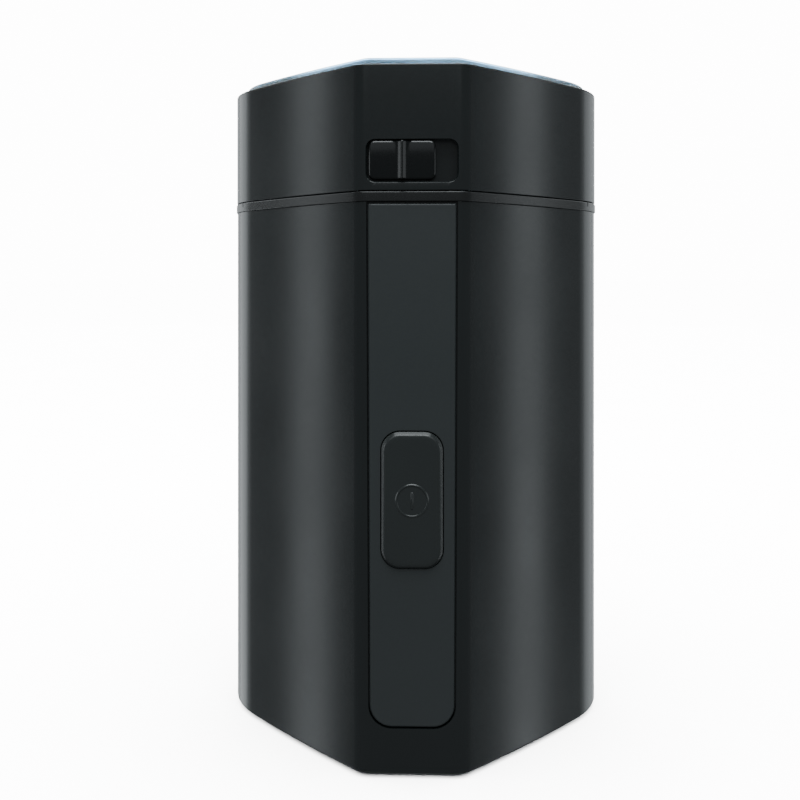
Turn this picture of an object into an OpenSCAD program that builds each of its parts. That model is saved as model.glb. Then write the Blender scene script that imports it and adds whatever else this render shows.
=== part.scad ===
// Electric spice grinder with a lift-off lid, a lid latch and a press button.
// Millimetres, +Z up, the button faces -Y, the feet stand on z = 0 and the motor shaft is the Z axis.
// The bowl sets the width: each wall and gap between it and the outside is added to its radius.
// The motor, the carrier and the bowl stand on each other and set the height in the same way.

/* [Bowl and carrier] */
// Inner radius of the bowl
bowl_r = 35; // [31:0.5:39]
// Depth of the bowl
bowl_depth = 37.5; // [34:0.5:42]
// Thickness of the bowl's steel
bowl_sheet = 1; // [0.8:0.1:1.2]
// Radius between the bowl's wall and floor
bowl_corner_r = 8; // [6:0.5:12]
// Width of the bowl's flange
bowl_flange = 2.6; // [2.3:0.1:2.9]
// Gap between the bowl and the carrier's cup
cup_gap = 1.5; // [1.2:0.1:1.8]
// Thickness of the carrier's cup
cup_wall = 2; // [1.8:0.1:2.4]
// Thickness of the carrier's deck
deck_thickness = 3.2; // [2.8:0.1:4]
// Thickness of the carrier's floor
cup_floor = 2.5; // [2:0.1:4]
// Room between the carrier's floor and the bowl
under_bowl = 3; // [2.6:0.1:5]
// Radius of the seal's seat in the carrier
seal_seat_r = 6.4; // [6:0.1:7]
// Radius of the hole in the bowl's floor
bowl_hole_r = 4.5; // [4:0.1:5]
// Height of the seal's lip in the bowl
seal_lip = 1.2; // [0.8:0.1:2]

/* [Body] */
// Distance from the axis to each slanting face, as a share of the distance to the front
face_share = 0.905; // [0.89:0.005:0.92]
// Radius of the gentle bulge across each slanting face, as a multiple of the distance to the front
bulge_share = 7.45; // [6:0.05:12]
// Radius where the front meets a slanting face, as a share of the distance to the front
front_corner_share = 0.124; // [0.08:0.002:0.15]
// Radius of the broad corner at each side, as a share of the distance to the front
side_corner_share = 0.538; // [0.5:0.002:0.58]
// Thickness of the body shell
shell_wall = 2.6; // [2.3:0.1:2.9]
// Width of the bevel round the body's lower edge
body_bevel = 0.6; // [0.3:0.1:1]
// Width of the ledge that carries the bowl carrier
ledge_width = 1.2; // [0.8:0.1:1.4]
// Height of that ledge
ledge_height = 2.5; // [1.5:0.1:4]
// Radius of the bosses for the carrier screws
carrier_boss_r = 3.3; // [3:0.1:3.6]
// Length of the bosses for the carrier screws
carrier_boss_length = 16; // [14:0.5:20]
// Radius of the bosses for the base screws
base_boss_r = 4; // [3.5:0.1:4.5]
// Length of the bosses for the base screws
base_boss_length = 18; // [16:0.5:24]
// Distance between a base screw's boss and the wall
boss_rib_reach = 1.6; // [1.2:0.1:2.4]
// Thickness of the ribs that tie bosses to the wall
rib_thickness = 2; // [1.5:0.1:3]
// Height of the air space between the base plate and the motor
motor_lift = 10.6; // [10:0.1:20]

/* [Trim ring] */
// Height of the ring between body and lid
ring_height = 2.4; // [2:0.1:3]
// How far the ring stands out from the body
ring_proud = 0.3; // [0.2:0.05:0.8]
// Height of the lip inside the lid
lip_height = 1.6; // [1:0.1:2]
// Thickness of that lip
lip_thickness = 1.3; // [0.8:0.1:1.5]
// Width of the small notches in the ring's upper edge
notch_width = 0.4; // [0.3:0.1:1]
// Height of those notches
notch_height = 1.25; // [0.8:0.05:1.8]
// Direction of those notches, measured from the side
notch_angle = 32; // [20:1:38]

/* [Control strip] */
// Width of the strip at its top
strip_top_width = 21.1; // [19:0.1:23]
// Width of the strip at its bottom
strip_bottom_width = 20.1; // [18.5:0.1:21]
// Radius of the strip's lower corners
strip_corner_r = 5.2; // [3:0.1:8]
// Thickness of the strip
strip_thickness = 1.8; // [1.6:0.1:2.2]
// Width of the bevel along the strip's edge
strip_bevel = 0.3; // [0.2:0.05:0.5]
// Distance from the body's lower edge to the strip
strip_rise = 11.2; // [8:0.1:14]
// Gap between the strip and the trim ring
strip_top_gap = 0.45; // [0.2:0.05:1]

/* [Start button] */
// Width of the button
button_width = 14.5; // [13:0.1:16]
// Height of the button
button_height = 32.2; // [29:0.1:36]
// Radius of the button's corners
button_corner_r = 4.4; // [3:0.1:6]
// How far the button stands out of the strip
button_proud = 1.2; // [1:0.1:1.4]
// Width of the bevel round the button's face
button_bevel = 1.1; // [0.6:0.1:1.4]
// Press of the button
button_travel = 1.5; // [1:0.1:1.8]
// Width of the flange that keeps the button in
button_flange = 1.4; // [1:0.1:1.8]
// Thickness of that flange
button_flange_thickness = 1.2; // [0.8:0.1:1.6]
// Wall of the button cap
button_wall = 1.6; // [1.2:0.1:2]
// Radius of the button's stem
button_stem_r = 2.5; // [2:0.1:2.8]
// Radius of the ring of the on mark
mark_r = 4; // [3:0.1:5]
// Line width of the on mark
mark_line = 0.6; // [0.4:0.1:0.8]
// Height of the on mark above the face
mark_height = 0.15; // [0.1:0.05:0.3]

/* [Start switch] */
// Width of the start switch
switch_width = 12; // [10:0.5:14]
// Height of the start switch
switch_height = 20; // [16:0.5:24]
// Depth of the start switch
switch_depth = 6.4; // [5.8:0.1:7]
// Gap between the button's flange and the start switch
switch_gap = 5.4; // [5:0.1:6]
// Depth of the switch's own bore
switch_bore_depth = 4.6; // [4:0.1:5]
// Thickness of the bracket behind the switch
bracket_thickness = 1.7; // [1.4:0.1:2]
// Radius of the posts for the bracket
bracket_post_r = 3; // [2.6:0.1:3.4]
// Gap between those posts and the button's flange
bracket_post_gap = 1.85; // [1:0.05:3]
// Half of the distance between the bracket's screws across
bracket_screw_x = 8; // [7:0.1:9]
// Edge of the bracket outside its posts
bracket_margin = 1; // [0.5:0.1:1.5]
// Gap between the bracket and the carrier above it
bracket_drop = 1.2; // [1:0.1:4]

/* [Lid] */
// Height of the lid shell
lid_height = 29.85; // [27:0.05:36]
// How far the lid stands out from the body
lid_proud = 0.15; // [0.05:0.05:0.3]
// Thickness of the lid shell
lid_wall = 2.8; // [2.5:0.1:3.1]
// Width of the bevel round the lid's rim
lid_bevel = 0.3; // [0.2:0.1:0.8]
// Thickness of the deck inside the lid
lid_deck_thickness = 2.1; // [1.6:0.1:3]
// Depth of that deck below the lid's rim
lid_deck_depth = 2; // [1.5:0.1:3]
// How far the thick part of the lid's front goes past the guide plate
lid_pad_margin = 1; // [0.5:0.1:2]

/* [Lid window] */
// How far the window stands above the lid's rim
window_proud = 2.1; // [1.5:0.1:3]
// Thickness of the window
window_thickness = 2.1; // [1.6:0.1:2.4]
// Width of the window's bevelled edge
window_bevel = 0.7; // [0.4:0.1:1]
// Thickness of the round collar under the window
collar_wall = 2; // [1.6:0.1:2.4]
// Height of the collar's end above the bowl's flange
seal_height = 4.4; // [3.4:0.1:6]
// Thickness of the seal
seal_wall = 0.8; // [0.6:0.1:0.9]

/* [Latch] */
// Width of the recess in the lid
recess_width = 21.5; // [21:0.1:22.5]
// Height of the recess
recess_height = 10.1; // [9.6:0.1:11]
// Radius of the recess's corners
recess_corner_r = 2; // [1:0.1:3]
// Thickness of the lid between the recess and the bolt
recess_wall = 1.6; // [1.2:0.1:1.8]
// Distance from the lid's lower edge to the recess
recess_rise = 2; // [1.6:0.1:4]
// Width of the slider
slider_width = 16; // [15:0.1:16.2]
// Corner radius of the slider
slider_corner_r = 1.55; // [1:0.05:3]
// Gap round the slider in its recess
slider_gap = 0.4; // [0.3:0.05:0.6]
// Travel of the slider
latch_travel = 4.2; // [3.8:0.1:4.4]
// Depth of the slider's face below the lid's face
slider_inset = 0.25; // [0.1:0.05:0.6]
// Height of the slider's thumb ridge
thumb_ridge = 0.9; // [0.5:0.1:1.1]
// Width of that ridge at its foot
ridge_width = 3.8; // [3:0.1:5]
// Width of that ridge along its crest
ridge_crest = 1; // [0.6:0.1:2]
// Radius of the hollow pads beside the ridge
pad_radius = 9; // [7:0.5:14]
// Depth of those pads
pad_depth = 0.7; // [0.3:0.1:1]
// Edge left above and below those pads
pad_edge = 1; // [0.6:0.1:1.6]
// Thickness of the bolt behind the slider
bolt_thickness = 2.1; // [1.9:0.1:2.3]
// Width of the bolt's upper part
bolt_width = 14; // [13:0.1:14.4]
// Width of the bolt's stem
bolt_stem_width = 8; // [7:0.1:9]
// Length of the toe that catches under the carrier
toe_length = 4.5; // [4.2:0.1:4.7]
// Thickness of the toe at its tip
toe_thickness = 2; // [1.6:0.1:2.6]
// Width of the neck through the lid
neck_width = 6; // [5:0.1:7]
// Height of that neck
neck_height = 5; // [4:0.1:6]
// Thickness of the guide plate behind the bolt
guide_thickness = 1.4; // [1.2:0.1:1.6]
// Height of the guide plate
guide_height = 10; // [9:0.1:11]
// Corner radius of the guide plate
guide_corner_r = 2; // [1:0.1:3]
// Radius of the posts that carry the guide plate
guide_post_r = 2.4; // [2.2:0.1:2.6]
// Gap between those posts and the bolt
guide_post_gap = 0.45; // [0.3:0.05:0.8]
// Room between the guide plate and the lid's seal
guide_room = 1.75; // [1.4:0.05:2]
// Thickness of the detent spring
detent_thickness = 0.5; // [0.3:0.1:0.8]
// Depth of the tooth in the detent spring
detent_tooth = 1; // [0.6:0.1:1.4]
// Half width of that tooth
detent_tooth_half = 2; // [1.5:0.1:3]
// Thickness and length of the legs that hold the detent spring
detent_leg = 1; // [0.8:0.1:1.5]

/* [Interlock] */
// Fall of the interlock pin for each millimetre of latch travel
ramp_slope = 0.45; // [0.35:0.01:0.5]
// Sideways place of the interlock pin
pin_x = 5; // [4.6:0.1:5]
// Radius of the interlock pin
pin_r = 1.2; // [1:0.1:1.3]
// Radius of the pin's head
pin_head_r = 1.9; // [1.7:0.1:2]
// Height of the pin's head at its lower side
pin_head_height = 2; // [1.6:0.1:2.6]
// Space for the interlock spring
pin_spring_room = 4.7; // [4.4:0.1:6]
// Length of the pin's guide
pin_guide_length = 4; // [3:0.1:6]
// Wall beside the pin's guide
pin_guide_wall = 1; // [0.8:0.1:1.5]
// Length of the interlock switch
interlock_length = 12.8; // [12:0.1:14]
// Height of the interlock switch
interlock_height = 6.5; // [6:0.1:7]
// Depth of the interlock switch
interlock_depth = 3.6; // [3.4:0.1:4]
// Depth of the pin's end inside the switch
pin_plunge = 2.4; // [2:0.1:3]

/* [Blade] */
// Gap between the blade's tips and the bowl's wall
blade_gap = 6; // [4:0.5:10]
// Width of the blade at its middle
blade_width = 12; // [10:0.5:14]
// Width of the blade near its tips
blade_tip_width = 6; // [4:0.5:9]
// Thickness of the blade
blade_thickness = 1.5; // [1:0.1:2]
// Length of the flat middle of the blade outside its hub
blade_root = 2; // [1:0.1:4]
// Rise of the upper wing
wing_rise = 9; // [6:0.5:12]
// Drop of the lower wing
wing_drop = 2; // [1:0.1:2.2]
// Share of the upper wing's rise reached halfway along it
wing_early_rise = 0.45; // [0.3:0.05:0.7]
// Share of the lower wing's drop reached halfway along it
wing_early_drop = 0.8; // [0.5:0.05:0.9]
// Height of the hub under the blade
blade_hub_height = 2.6; // [2.4:0.1:4]
// Radius of that hub
blade_hub_r = 5.5; // [5:0.1:6.5]
// Distance across the flats of the blade nut
nut_across = 8; // [7:0.5:10]
// Height of the blade nut
nut_height = 4; // [3:0.1:5]
// Height and width of the nut's rounded crown
nut_crown = 1; // [0.6:0.1:1.4]

/* [Motor] */
// Height of the stator and of the armature core
stack_height = 30; // [26:0.5:34]
// Width of the stator's ring, as a share of the stator's radius
yoke_share = 0.167; // [0.15:0.001:0.18]
// Half width of each pole, as a share of the stator's radius
pole_share = 0.333; // [0.3:0.001:0.36]
// Thickness of each pole shoe, as a share of the stator's radius
shoe_share = 0.089; // [0.07:0.001:0.1]
// Radius of the armature core, as a share of the stator's radius
armature_share = 0.546; // [0.52:0.001:0.56]
// Width of a coil's side, as a share of the stator's radius
coil_share = 0.193; // [0.15:0.001:0.21]
// Radius of the commutator, as a share of the stator's radius
commutator_share = 0.352; // [0.33:0.001:0.38]
// Radius of the fan, as a share of the stator's radius
fan_share = 0.759; // [0.7:0.001:0.78]
// Half of the angle that a pole shoe spans
shoe_angle = 62; // [55:1:68]
// Height of the coils beyond the stator
coil_overhang = 7; // [6:0.1:8]
// Outer corner radius of the coils
coil_corner_r = 4; // [3:0.1:5]
// Gap between armature core and pole shoes
air_gap = 0.35; // [0.3:0.05:0.6]
// Number of armature slots
slot_count = 12; // [8:1:14]
// Radius of an armature slot, as a share of the core's radius
slot_share = 0.136; // [0.11:0.001:0.15]
// Width of the mouth of an armature slot
slot_mouth = 1.2; // [0.8:0.1:1.6]
// Thickness of the core outside its slots
slot_skin = 1.2; // [0.8:0.1:1.6]
// Height of the winding heads
head_height = 5.2; // [4.4:0.1:5.8]
// Thickness of the sleeve between windings and shaft
insulation = 0.4; // [0.3:0.1:0.8]
// Length of the commutator
commutator_length = 12; // [10:0.1:13.4]
// Number of commutator bars
bar_count = 24; // [16:1:36]
// Width of the gaps between those bars
bar_gap = 0.4; // [0.3:0.1:0.6]
// Depth of those gaps
bar_depth = 1; // [0.6:0.1:1.4]
// Length and height of the commutator's risers
riser = 1.2; // [1:0.1:1.6]
// Radius of the shaft in its bearings
shaft_r = 2.5; // [2.2:0.1:2.8]
// Radius of the shaft between its bearings
journal_r = 3.2; // [3:0.1:3.6]
// Outer radius of the bearings
bearing_r = 5.5; // [5:0.1:6.1]
// Length of the bearings
bearing_length = 6; // [5.4:0.1:6.6]
// Radius of the thrust washers
washer_r = 5; // [4.5:0.1:5.4]
// Thickness of the thrust washers
washer_thickness = 0.5; // [0.3:0.1:0.8]
// Number of fan blades
fan_blades = 14; // [8:1:20]
// Height of the fan
fan_height = 5.4; // [4:0.1:5.6]
// Thickness of the fan's disc and of its blades
fan_wall = 1.3; // [1:0.1:1.6]
// Thickness of the fan's hub
fan_hub_wall = 3; // [2:0.1:4]

/* [Motor brackets] */
// Thickness of the brackets' walls
bracket_wall = 2; // [1.7:0.1:2.3]
// Thickness of the brackets' floors
bracket_floor = 2.5; // [2:0.1:3]
// Height of the upper bracket
upper_bracket_height = 18.5; // [18:0.1:21]
// Height of the lower bracket
lower_bracket_height = 28; // [27.5:0.1:32]
// Width of the windows in the brackets' walls
bracket_window = 16; // [12:0.5:17]
// Radius of the bearing hubs
hub_r = 8; // [7.4:0.1:8.8]
// Radius of the holes in the lower bracket's floor, as a share of the room between hub and wall
floor_hole_share = 0.235; // [0.15:0.005:0.245]
// Height of the pads that carry the stator screws' heads
stator_flange = 4; // [3:0.1:5]
// Height of the bosses that the stator screws enter
lower_boss = 6; // [5:0.1:7]
// Height of the rubber dampers
damper_height = 3; // [2.2:0.1:5]
// Radius of the rubber dampers
damper_r = 4; // [3.4:0.1:4.6]
// Distance from the axis to the motor screws, as a share of the stator's radius
motor_screw_share = 0.741; // [0.7:0.001:0.75]
// Distance of the brushes below the stator
brush_drop = 12; // [11.6:0.1:12.6]
// Width of a carbon brush
brush_width = 5; // [4:0.1:5.6]
// Height of a carbon brush
brush_height = 7; // [6:0.1:8]
// Length of a carbon brush, as a share of its way from the commutator to the bracket
brush_share = 0.514; // [0.45:0.001:0.56]
// Wall of a brush holder
holder_wall = 0.6; // [0.5:0.1:1]
// Thickness of the metal round a brush holder
brush_pad = 3; // [2.4:0.1:3.6]
// Depth of that metal
brush_pad_depth = 8; // [6:0.5:9]
// Thickness of a brush cap
brush_cap = 2; // [1.4:0.1:2.4]

/* [Base] */
// Height of the feet below the body
foot_height = 1; // [0.8:0.1:3]
// Radius of the feet
foot_r = 6; // [4:0.1:6.5]
// Depth of the feet in the base plate
foot_seat = 0.8; // [0.5:0.1:1.2]
// How much nearer to the axis the feet are, sideways, than the base screws
foot_step = 4.5; // [3.5:0.1:6]
// Thickness of the base plate
base_thickness = 2.4; // [2.2:0.1:3]
// Width of an air slot
slot_width = 2.5; // [2:0.1:3]
// Distance between air slots
slot_pitch = 5.5; // [5:0.1:7]
// Width of the web between the two rows of air slots
slot_web = 2; // [1.5:0.1:4]
// Room between the air slots and the feet
vent_gap = 1; // [0.5:0.1:3]
// Length of the suppression capacitor
capacitor_length = 18; // [14:0.5:20]
// Thickness of the suppression capacitor
capacitor_width = 6; // [5:0.1:6.5]
// Height of the suppression capacitor
capacitor_height = 9; // [7:0.1:9.5]
// Room between that capacitor and the side wall
capacitor_room = 5.3; // [4.6:0.1:6]
// Thickness of the clips beside it
clip_thickness = 1; // [0.8:0.1:1.4]

/* [Cord gland] */
// Radius of the gland's bore
cord_r = 3.3; // [2.5:0.1:3.6]
// Radius of the gland in the wall
gland_r = 4.8; // [4.4:0.1:5.4]
// Radius of the gland's flanges
gland_flange_r = 6.5; // [6:0.1:8]
// Thickness of the outer flange
gland_proud = 1.35; // [1:0.05:1.6]
// Length of the gland inside the shell
gland_inside = 2.6; // [2:0.1:4]
// Height of the gland above the body's lower edge
gland_rise = 14; // [12:0.5:20]

/* [Screws] */
// Radius of the screws' shanks
screw_r = 1.4; // [1.2:0.05:1.5]
// Radius of the screws' heads
screw_head_r = 2.7; // [2.4:0.1:2.8]
// Thickness of the screws' heads
screw_head = 1.4; // [1.2:0.1:1.5]
// Radius of the small screws' heads
small_head_r = 2.2; // [2:0.1:2.4]
// Thickness of the small screws' heads
small_head = 1.2; // [1:0.1:1.3]
// Length of the shanks of the small screws
small_screw_length = 4; // [3.4:0.1:5]
// Length of the shanks of the carrier screws
carrier_screw_length = 12; // [8:0.5:13]
// Length of the shanks of the base screws
base_screw_length = 14; // [10:0.5:16]
// Bore left beyond the tip of a screw
screw_spare = 1; // [0.6:0.1:1.6]

/* [Springs] */
// Wire radius of the button's spring
button_wire = 0.3; // [0.2:0.05:0.4]
// Coil radius of the button's spring
button_coil_r = 3.5; // [3.3:0.1:4]
// Wire radius of the interlock spring
pin_wire = 0.2; // [0.15:0.05:0.25]
// Wire radius of the brush springs
brush_wire = 0.25; // [0.2:0.05:0.3]

/* [Clearances] */
// Gap between pieces that move past each other
moving_gap = 0.3; // [0.25:0.05:0.35]
// Gap round pieces that are fixed in an opening
fixed_gap = 0.2; // [0.1:0.05:0.25]
// Visible gap round the control strip
strip_gap = 0.3; // [0.2:0.05:0.5]
// Gap on each side between a pin or shaft and its bore
running_gap = 0.05; // [0.03:0.01:0.08]
// Gap between the interlock switch and the thick part of the body's front
interlock_gap = 0.5; // [0.4:0.1:1]
// Gap between the motor and the start switch's screws
motor_room = 0.5; // [0.4:0.1:2]
// Gap between the bosses and the carrier's cup
boss_gap = 0.3; // [0.2:0.05:0.6]
// Room beside the latch bolt where the trim ring's lip is cut away
lip_cut_gap = 1; // [0.6:0.1:2]

/* [Hidden] */
$fn = 64;

// Overlap used only where one solid is cut or joined with another, and the thin slice that starts a bevel
eps = 0.5;
slice = 0.1;
smallest_r = 0.8;
corner_steps = 6;
face_steps = 10;
side_steps = 9;

// Distances from the axis, counted outward from the bowl
cup_r = bowl_r + bowl_sheet + cup_gap;
cup_outer_r = cup_r + cup_wall;
flange_r = bowl_r + bowl_sheet + bowl_flange;
ring_opening_r = flange_r + 3 * fixed_gap;
interlock_back = -cup_outer_r - moving_gap;
interlock_front = interlock_back - interlock_depth;
pad_inner = interlock_front - interlock_gap;
strip_back = pad_inner - shell_wall;
front_reach = strip_thickness - strip_back;
face_reach = face_share * front_reach;
face_radius = bulge_share * front_reach;
front_corner_r = front_corner_share * front_reach;
side_corner_r = side_corner_share * front_reach;

// Heights, counted upward from the floor
shell_bottom = foot_height;
base_top = shell_bottom + base_thickness;
lower_floor = base_top + motor_lift;
lower_floor_top = lower_floor + bracket_floor;
stator_bottom = lower_floor + lower_bracket_height;
brush_z = stator_bottom - brush_drop;
stator_top = stator_bottom + stack_height;
motor_top = stator_top + upper_bracket_height;
upper_floor = motor_top - bracket_floor;
cup_bottom = motor_top + damper_height;
cup_floor_top = cup_bottom + cup_floor;
bowl_bottom = cup_floor_top + under_bowl;
bowl_floor = bowl_bottom + bowl_sheet;
flange_top = bowl_floor + bowl_depth;
deck_z = flange_top - bowl_sheet;
deck_under = deck_z - deck_thickness;
ring_top = deck_z + ring_height;
lid_bottom = ring_top + moving_gap;
lid_top = lid_bottom + lid_height;
window_seat = lid_top - lid_deck_depth;
window_top = lid_top + window_proud;

// Start button and its switch, counted inward from the strip
pad_half = strip_top_width / 2 + strip_gap + shell_wall;
ledge_free = shell_wall + 2 * fixed_gap;
button_front = -front_reach - button_proud;
flange_front = pad_inner + moving_gap;
flange_back = flange_front + button_flange_thickness;
switch_front = flange_back + switch_gap;
switch_back = switch_front + switch_depth;
bracket_back = switch_back + bracket_thickness;
bracket_screw_z = button_height / 2 + button_flange + bracket_post_r + bracket_post_gap;
bracket_reach = bracket_screw_z + bracket_post_r + bracket_margin;
bracket_half = bracket_screw_x + bracket_post_r + bracket_margin;
button_z = cup_bottom - bracket_drop - bracket_reach;
bracket_screw_places = [
    [bracket_screw_x, button_z + bracket_screw_z],
    [-bracket_screw_x, button_z - bracket_screw_z]
];

// Motor, which fills the width that the start switch leaves
stator_r = -bracket_back - small_head - motor_room - fixed_gap;
yoke_width = yoke_share * stator_r;
pole_half = pole_share * stator_r;
shoe_thickness = shoe_share * stator_r;
armature_r = armature_share * stator_r;
coil_width = coil_share * stator_r;
commutator_r = commutator_share * stator_r;
fan_r = fan_share * stator_r;
motor_screw_reach = motor_screw_share * stator_r;
brush_length = brush_share * (stator_r - commutator_r);
floor_hole_r = floor_hole_share * (stator_r - bracket_wall - hub_r);
stator_screw_reach = stator_r - yoke_width / 2;
slot_r = slot_share * armature_r;
slot_reach = armature_r - slot_r - slot_skin;
shaft_bottom = lower_floor - foot_height;
lower_journal = lower_floor_top + bearing_length - bracket_floor / 2;
upper_journal = upper_floor - bearing_length / 2 + bracket_floor / 2;
fan_bottom = stator_top + coil_overhang + 2 * moving_gap;
blade_hub_bottom = bowl_floor + seal_lip + moving_gap;
blade_bottom = blade_hub_bottom + blade_hub_height;
nut_bottom = blade_bottom + blade_thickness;
shaft_top = nut_bottom + nut_height - nut_crown / 2;
blade_half = bowl_r - blade_gap;

// Lid front and latch, counted inward from the thick part of the body's front
lid_reach = front_reach + lid_proud;
lid_inset = lid_wall - lid_proud;
bolt_front = pad_inner + moving_gap + running_gap;
bolt_back = bolt_front + bolt_thickness;
guide_front = bolt_back + moving_gap;
guide_back = guide_front + guide_thickness;
lid_pad_inner = bolt_front - moving_gap;
recess_floor = lid_pad_inner - recess_wall;
collar_r = -guide_back - guide_room - seal_wall;
collar_inner_r = collar_r - collar_wall;
recess_low = lid_bottom + recess_rise;
recess_mid = recess_low + recess_height / 2;
slider_left = -recess_width / 2 + slider_gap;
slider_mid = slider_left + slider_width / 2;
slider_height = recess_height - 2 * slider_gap;
slider_front = -lid_reach + slider_inset;
slider_back = recess_floor - moving_gap;
bolt_left = slider_mid - bolt_width / 2;
bolt_right = slider_mid + bolt_width / 2;
bolt_top = recess_mid + recess_height / 2;
stem_left = slider_mid - bolt_stem_width / 2;
stem_right = slider_mid + bolt_stem_width / 2;
guide_screw_x = max(-bolt_left, bolt_right + latch_travel) + guide_post_r + guide_post_gap;
guide_half_width = guide_screw_x + small_head_r;
lid_pad_half = guide_half_width + lid_pad_margin;
detent_low = bolt_top + 2 * moving_gap;
detent_half = guide_screw_x;

// Toe of the latch, and the interlock that it presses
toe_tip = stem_right + toe_length;
toe_top = deck_under - moving_gap - running_gap;
toe_low = toe_top - toe_thickness;
ramp_start = pin_x - pin_head_r - latch_travel - moving_gap;
bolt_low = toe_low - ramp_slope * (toe_tip - ramp_start);
latch_slot_left = stem_left - moving_gap;
latch_slot_right = toe_tip + moving_gap;
pin_reach = cup_outer_r + moving_gap + interlock_depth / 2;
pin_head_top = toe_low - ramp_slope * (toe_tip - pin_x) - running_gap * 3;
pin_head_bottom = toe_low - ramp_slope * (toe_tip - pin_x + pin_head_r) - pin_head_height;
pin_guide_top = pin_head_bottom - pin_spring_room;
pin_guide_bottom = pin_guide_top - pin_guide_length;
pin_travel = latch_travel * ramp_slope;
pin_end = pin_guide_bottom - pin_plunge;

// ---- Outline of the body: flats front and back, four bulged faces, two broad side corners ----

function arc(centre, radius, from, to, steps) =
    [for (i = [0 : steps]) let (a = from + (to - from) * i / steps) centre + radius * [cos(a), sin(a)]];

function tail(points) = [for (i = [1 : len(points) - 1]) points[i]];

face_centre = (face_reach - face_radius) * [sqrt(0.5), -sqrt(0.5)];

function front_corner_centre(inset) =
    let (r = max(front_corner_r - inset, smallest_r))
    let (y = -(front_reach - inset - r))
    let (reach = face_radius - inset - r)
    [face_centre.x + sqrt(pow(reach, 2) - pow(y - face_centre.y, 2)), y];

function side_corner_centre(inset) =
    let (r = max(side_corner_r - inset, smallest_r))
    let (reach = face_radius - inset - r)
    [face_centre.x + sqrt(pow(reach, 2) - pow(face_centre.y, 2)), 0];

function quarter(inset) =
    let (front = front_corner_centre(inset))
    let (side = side_corner_centre(inset))
    let (from_front = atan2(front.y - face_centre.y, front.x - face_centre.x))
    let (from_side = atan2(side.y - face_centre.y, side.x - face_centre.x))
    concat(
        arc(front, max(front_corner_r - inset, smallest_r), -90, from_front, corner_steps),
        tail(arc(face_centre, face_radius - inset, from_front, from_side, face_steps)),
        tail(arc(side, max(side_corner_r - inset, smallest_r), from_side, 0, side_steps))
    );

function plan(inset) =
    let (q = quarter(inset))
    let (right = concat(q, [for (i = [len(q) - 2 : -1 : 0]) [q[i].x, -q[i].y]]))
    concat(right, [for (i = [len(right) - 1 : -1 : 0]) [-right[i].x, right[i].y]]);

function rounded(low, high, r, steps = 6) = concat(
    arc([high.x - r, high.y - r], r, 0, 90, steps),
    arc([low.x + r, high.y - r], r, 90, 180, steps),
    arc([low.x + r, low.y + r], r, 180, 270, steps),
    arc([high.x - r, low.y + r], r, 270, 360, steps)
);

side_reach = side_corner_centre(0).x + side_corner_r;

// Screw and foot places
base_screw_reach = face_reach - shell_wall - base_boss_r - boss_rib_reach;
carrier_screw_side = side_reach - shell_wall - ledge_width - carrier_boss_r;
carrier_screw_back = front_reach - shell_wall - carrier_boss_r - 2 * running_gap;
carrier_screw_spread = sqrt(pow(cup_outer_r + carrier_boss_r + boss_gap, 2) - pow(carrier_screw_back, 2));
carrier_screw_places = [
    [carrier_screw_side, 0], [-carrier_screw_side, 0],
    [carrier_screw_spread, carrier_screw_back], [-carrier_screw_spread, carrier_screw_back]
];
boss_bottom = deck_under - carrier_boss_length;
boss_top = base_top + base_boss_length;
foot_x = base_screw_reach - foot_step;
foot_y = foot_x / 2;
vent_r = foot_x - foot_r - vent_gap;
capacitor_reach = side_reach - shell_wall - capacitor_width / 2 - capacitor_room;

// ---- Solids that the modules share ----

module prism(bottom, top, inset) translate([0, 0, bottom]) linear_extrude(top - bottom) polygon(plan(inset));

// A prism with a bevel round its lower edge, its upper edge or both
module bevelled_prism(bottom, top, inset, low_bevel, top_bevel) {
    prism(bottom + low_bevel, top - top_bevel, inset);
    if (low_bevel > 0) hull() {
        prism(bottom, bottom + slice, inset + low_bevel);
        prism(bottom + low_bevel, bottom + low_bevel + slice, inset);
    }
    if (top_bevel > 0) hull() {
        prism(top - top_bevel - slice, top - top_bevel, inset);
        prism(top - slice, top, inset + top_bevel);
    }
}

module rod(bottom, top, r) translate([0, 0, bottom]) cylinder(h = top - bottom, r = r);

module tube(bottom, top, outer, inner) difference() {
    rod(bottom, top, outer);
    rod(bottom - eps, top + eps, inner);
}

module block(low, high) translate(low) cube(high - low);

// A drawing of x and z, extruded from front to back along Y
module upright(front, back)
    translate([0, back, 0]) rotate([90, 0, 0]) linear_extrude(back - front) children();

module rod_y(x, z, front, back, r)
    translate([x, front, z]) rotate([-90, 0, 0]) cylinder(h = back - front, r = r);

// Four copies at the middles of the slanting faces
module at_faces(reach) for (i = [0 : 3]) rotate(45 + 90 * i) translate([reach, 0, 0]) children();

// Two copies, turned half round from each other
module both_ways() for (turn = [0, 180]) rotate(turn) children();

module screw(top, length) {
    rod(top, top + screw_head, screw_head_r);
    rod(top - length, top + slice, screw_r);
}

// A screw along Y, with its head at the back of what it holds
module small_screw(x, z, head_front) {
    rod_y(x, z, head_front, head_front + small_head, small_head_r);
    rod_y(x, z, head_front - small_screw_length - bracket_thickness, head_front + slice, screw_r);
}

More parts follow.
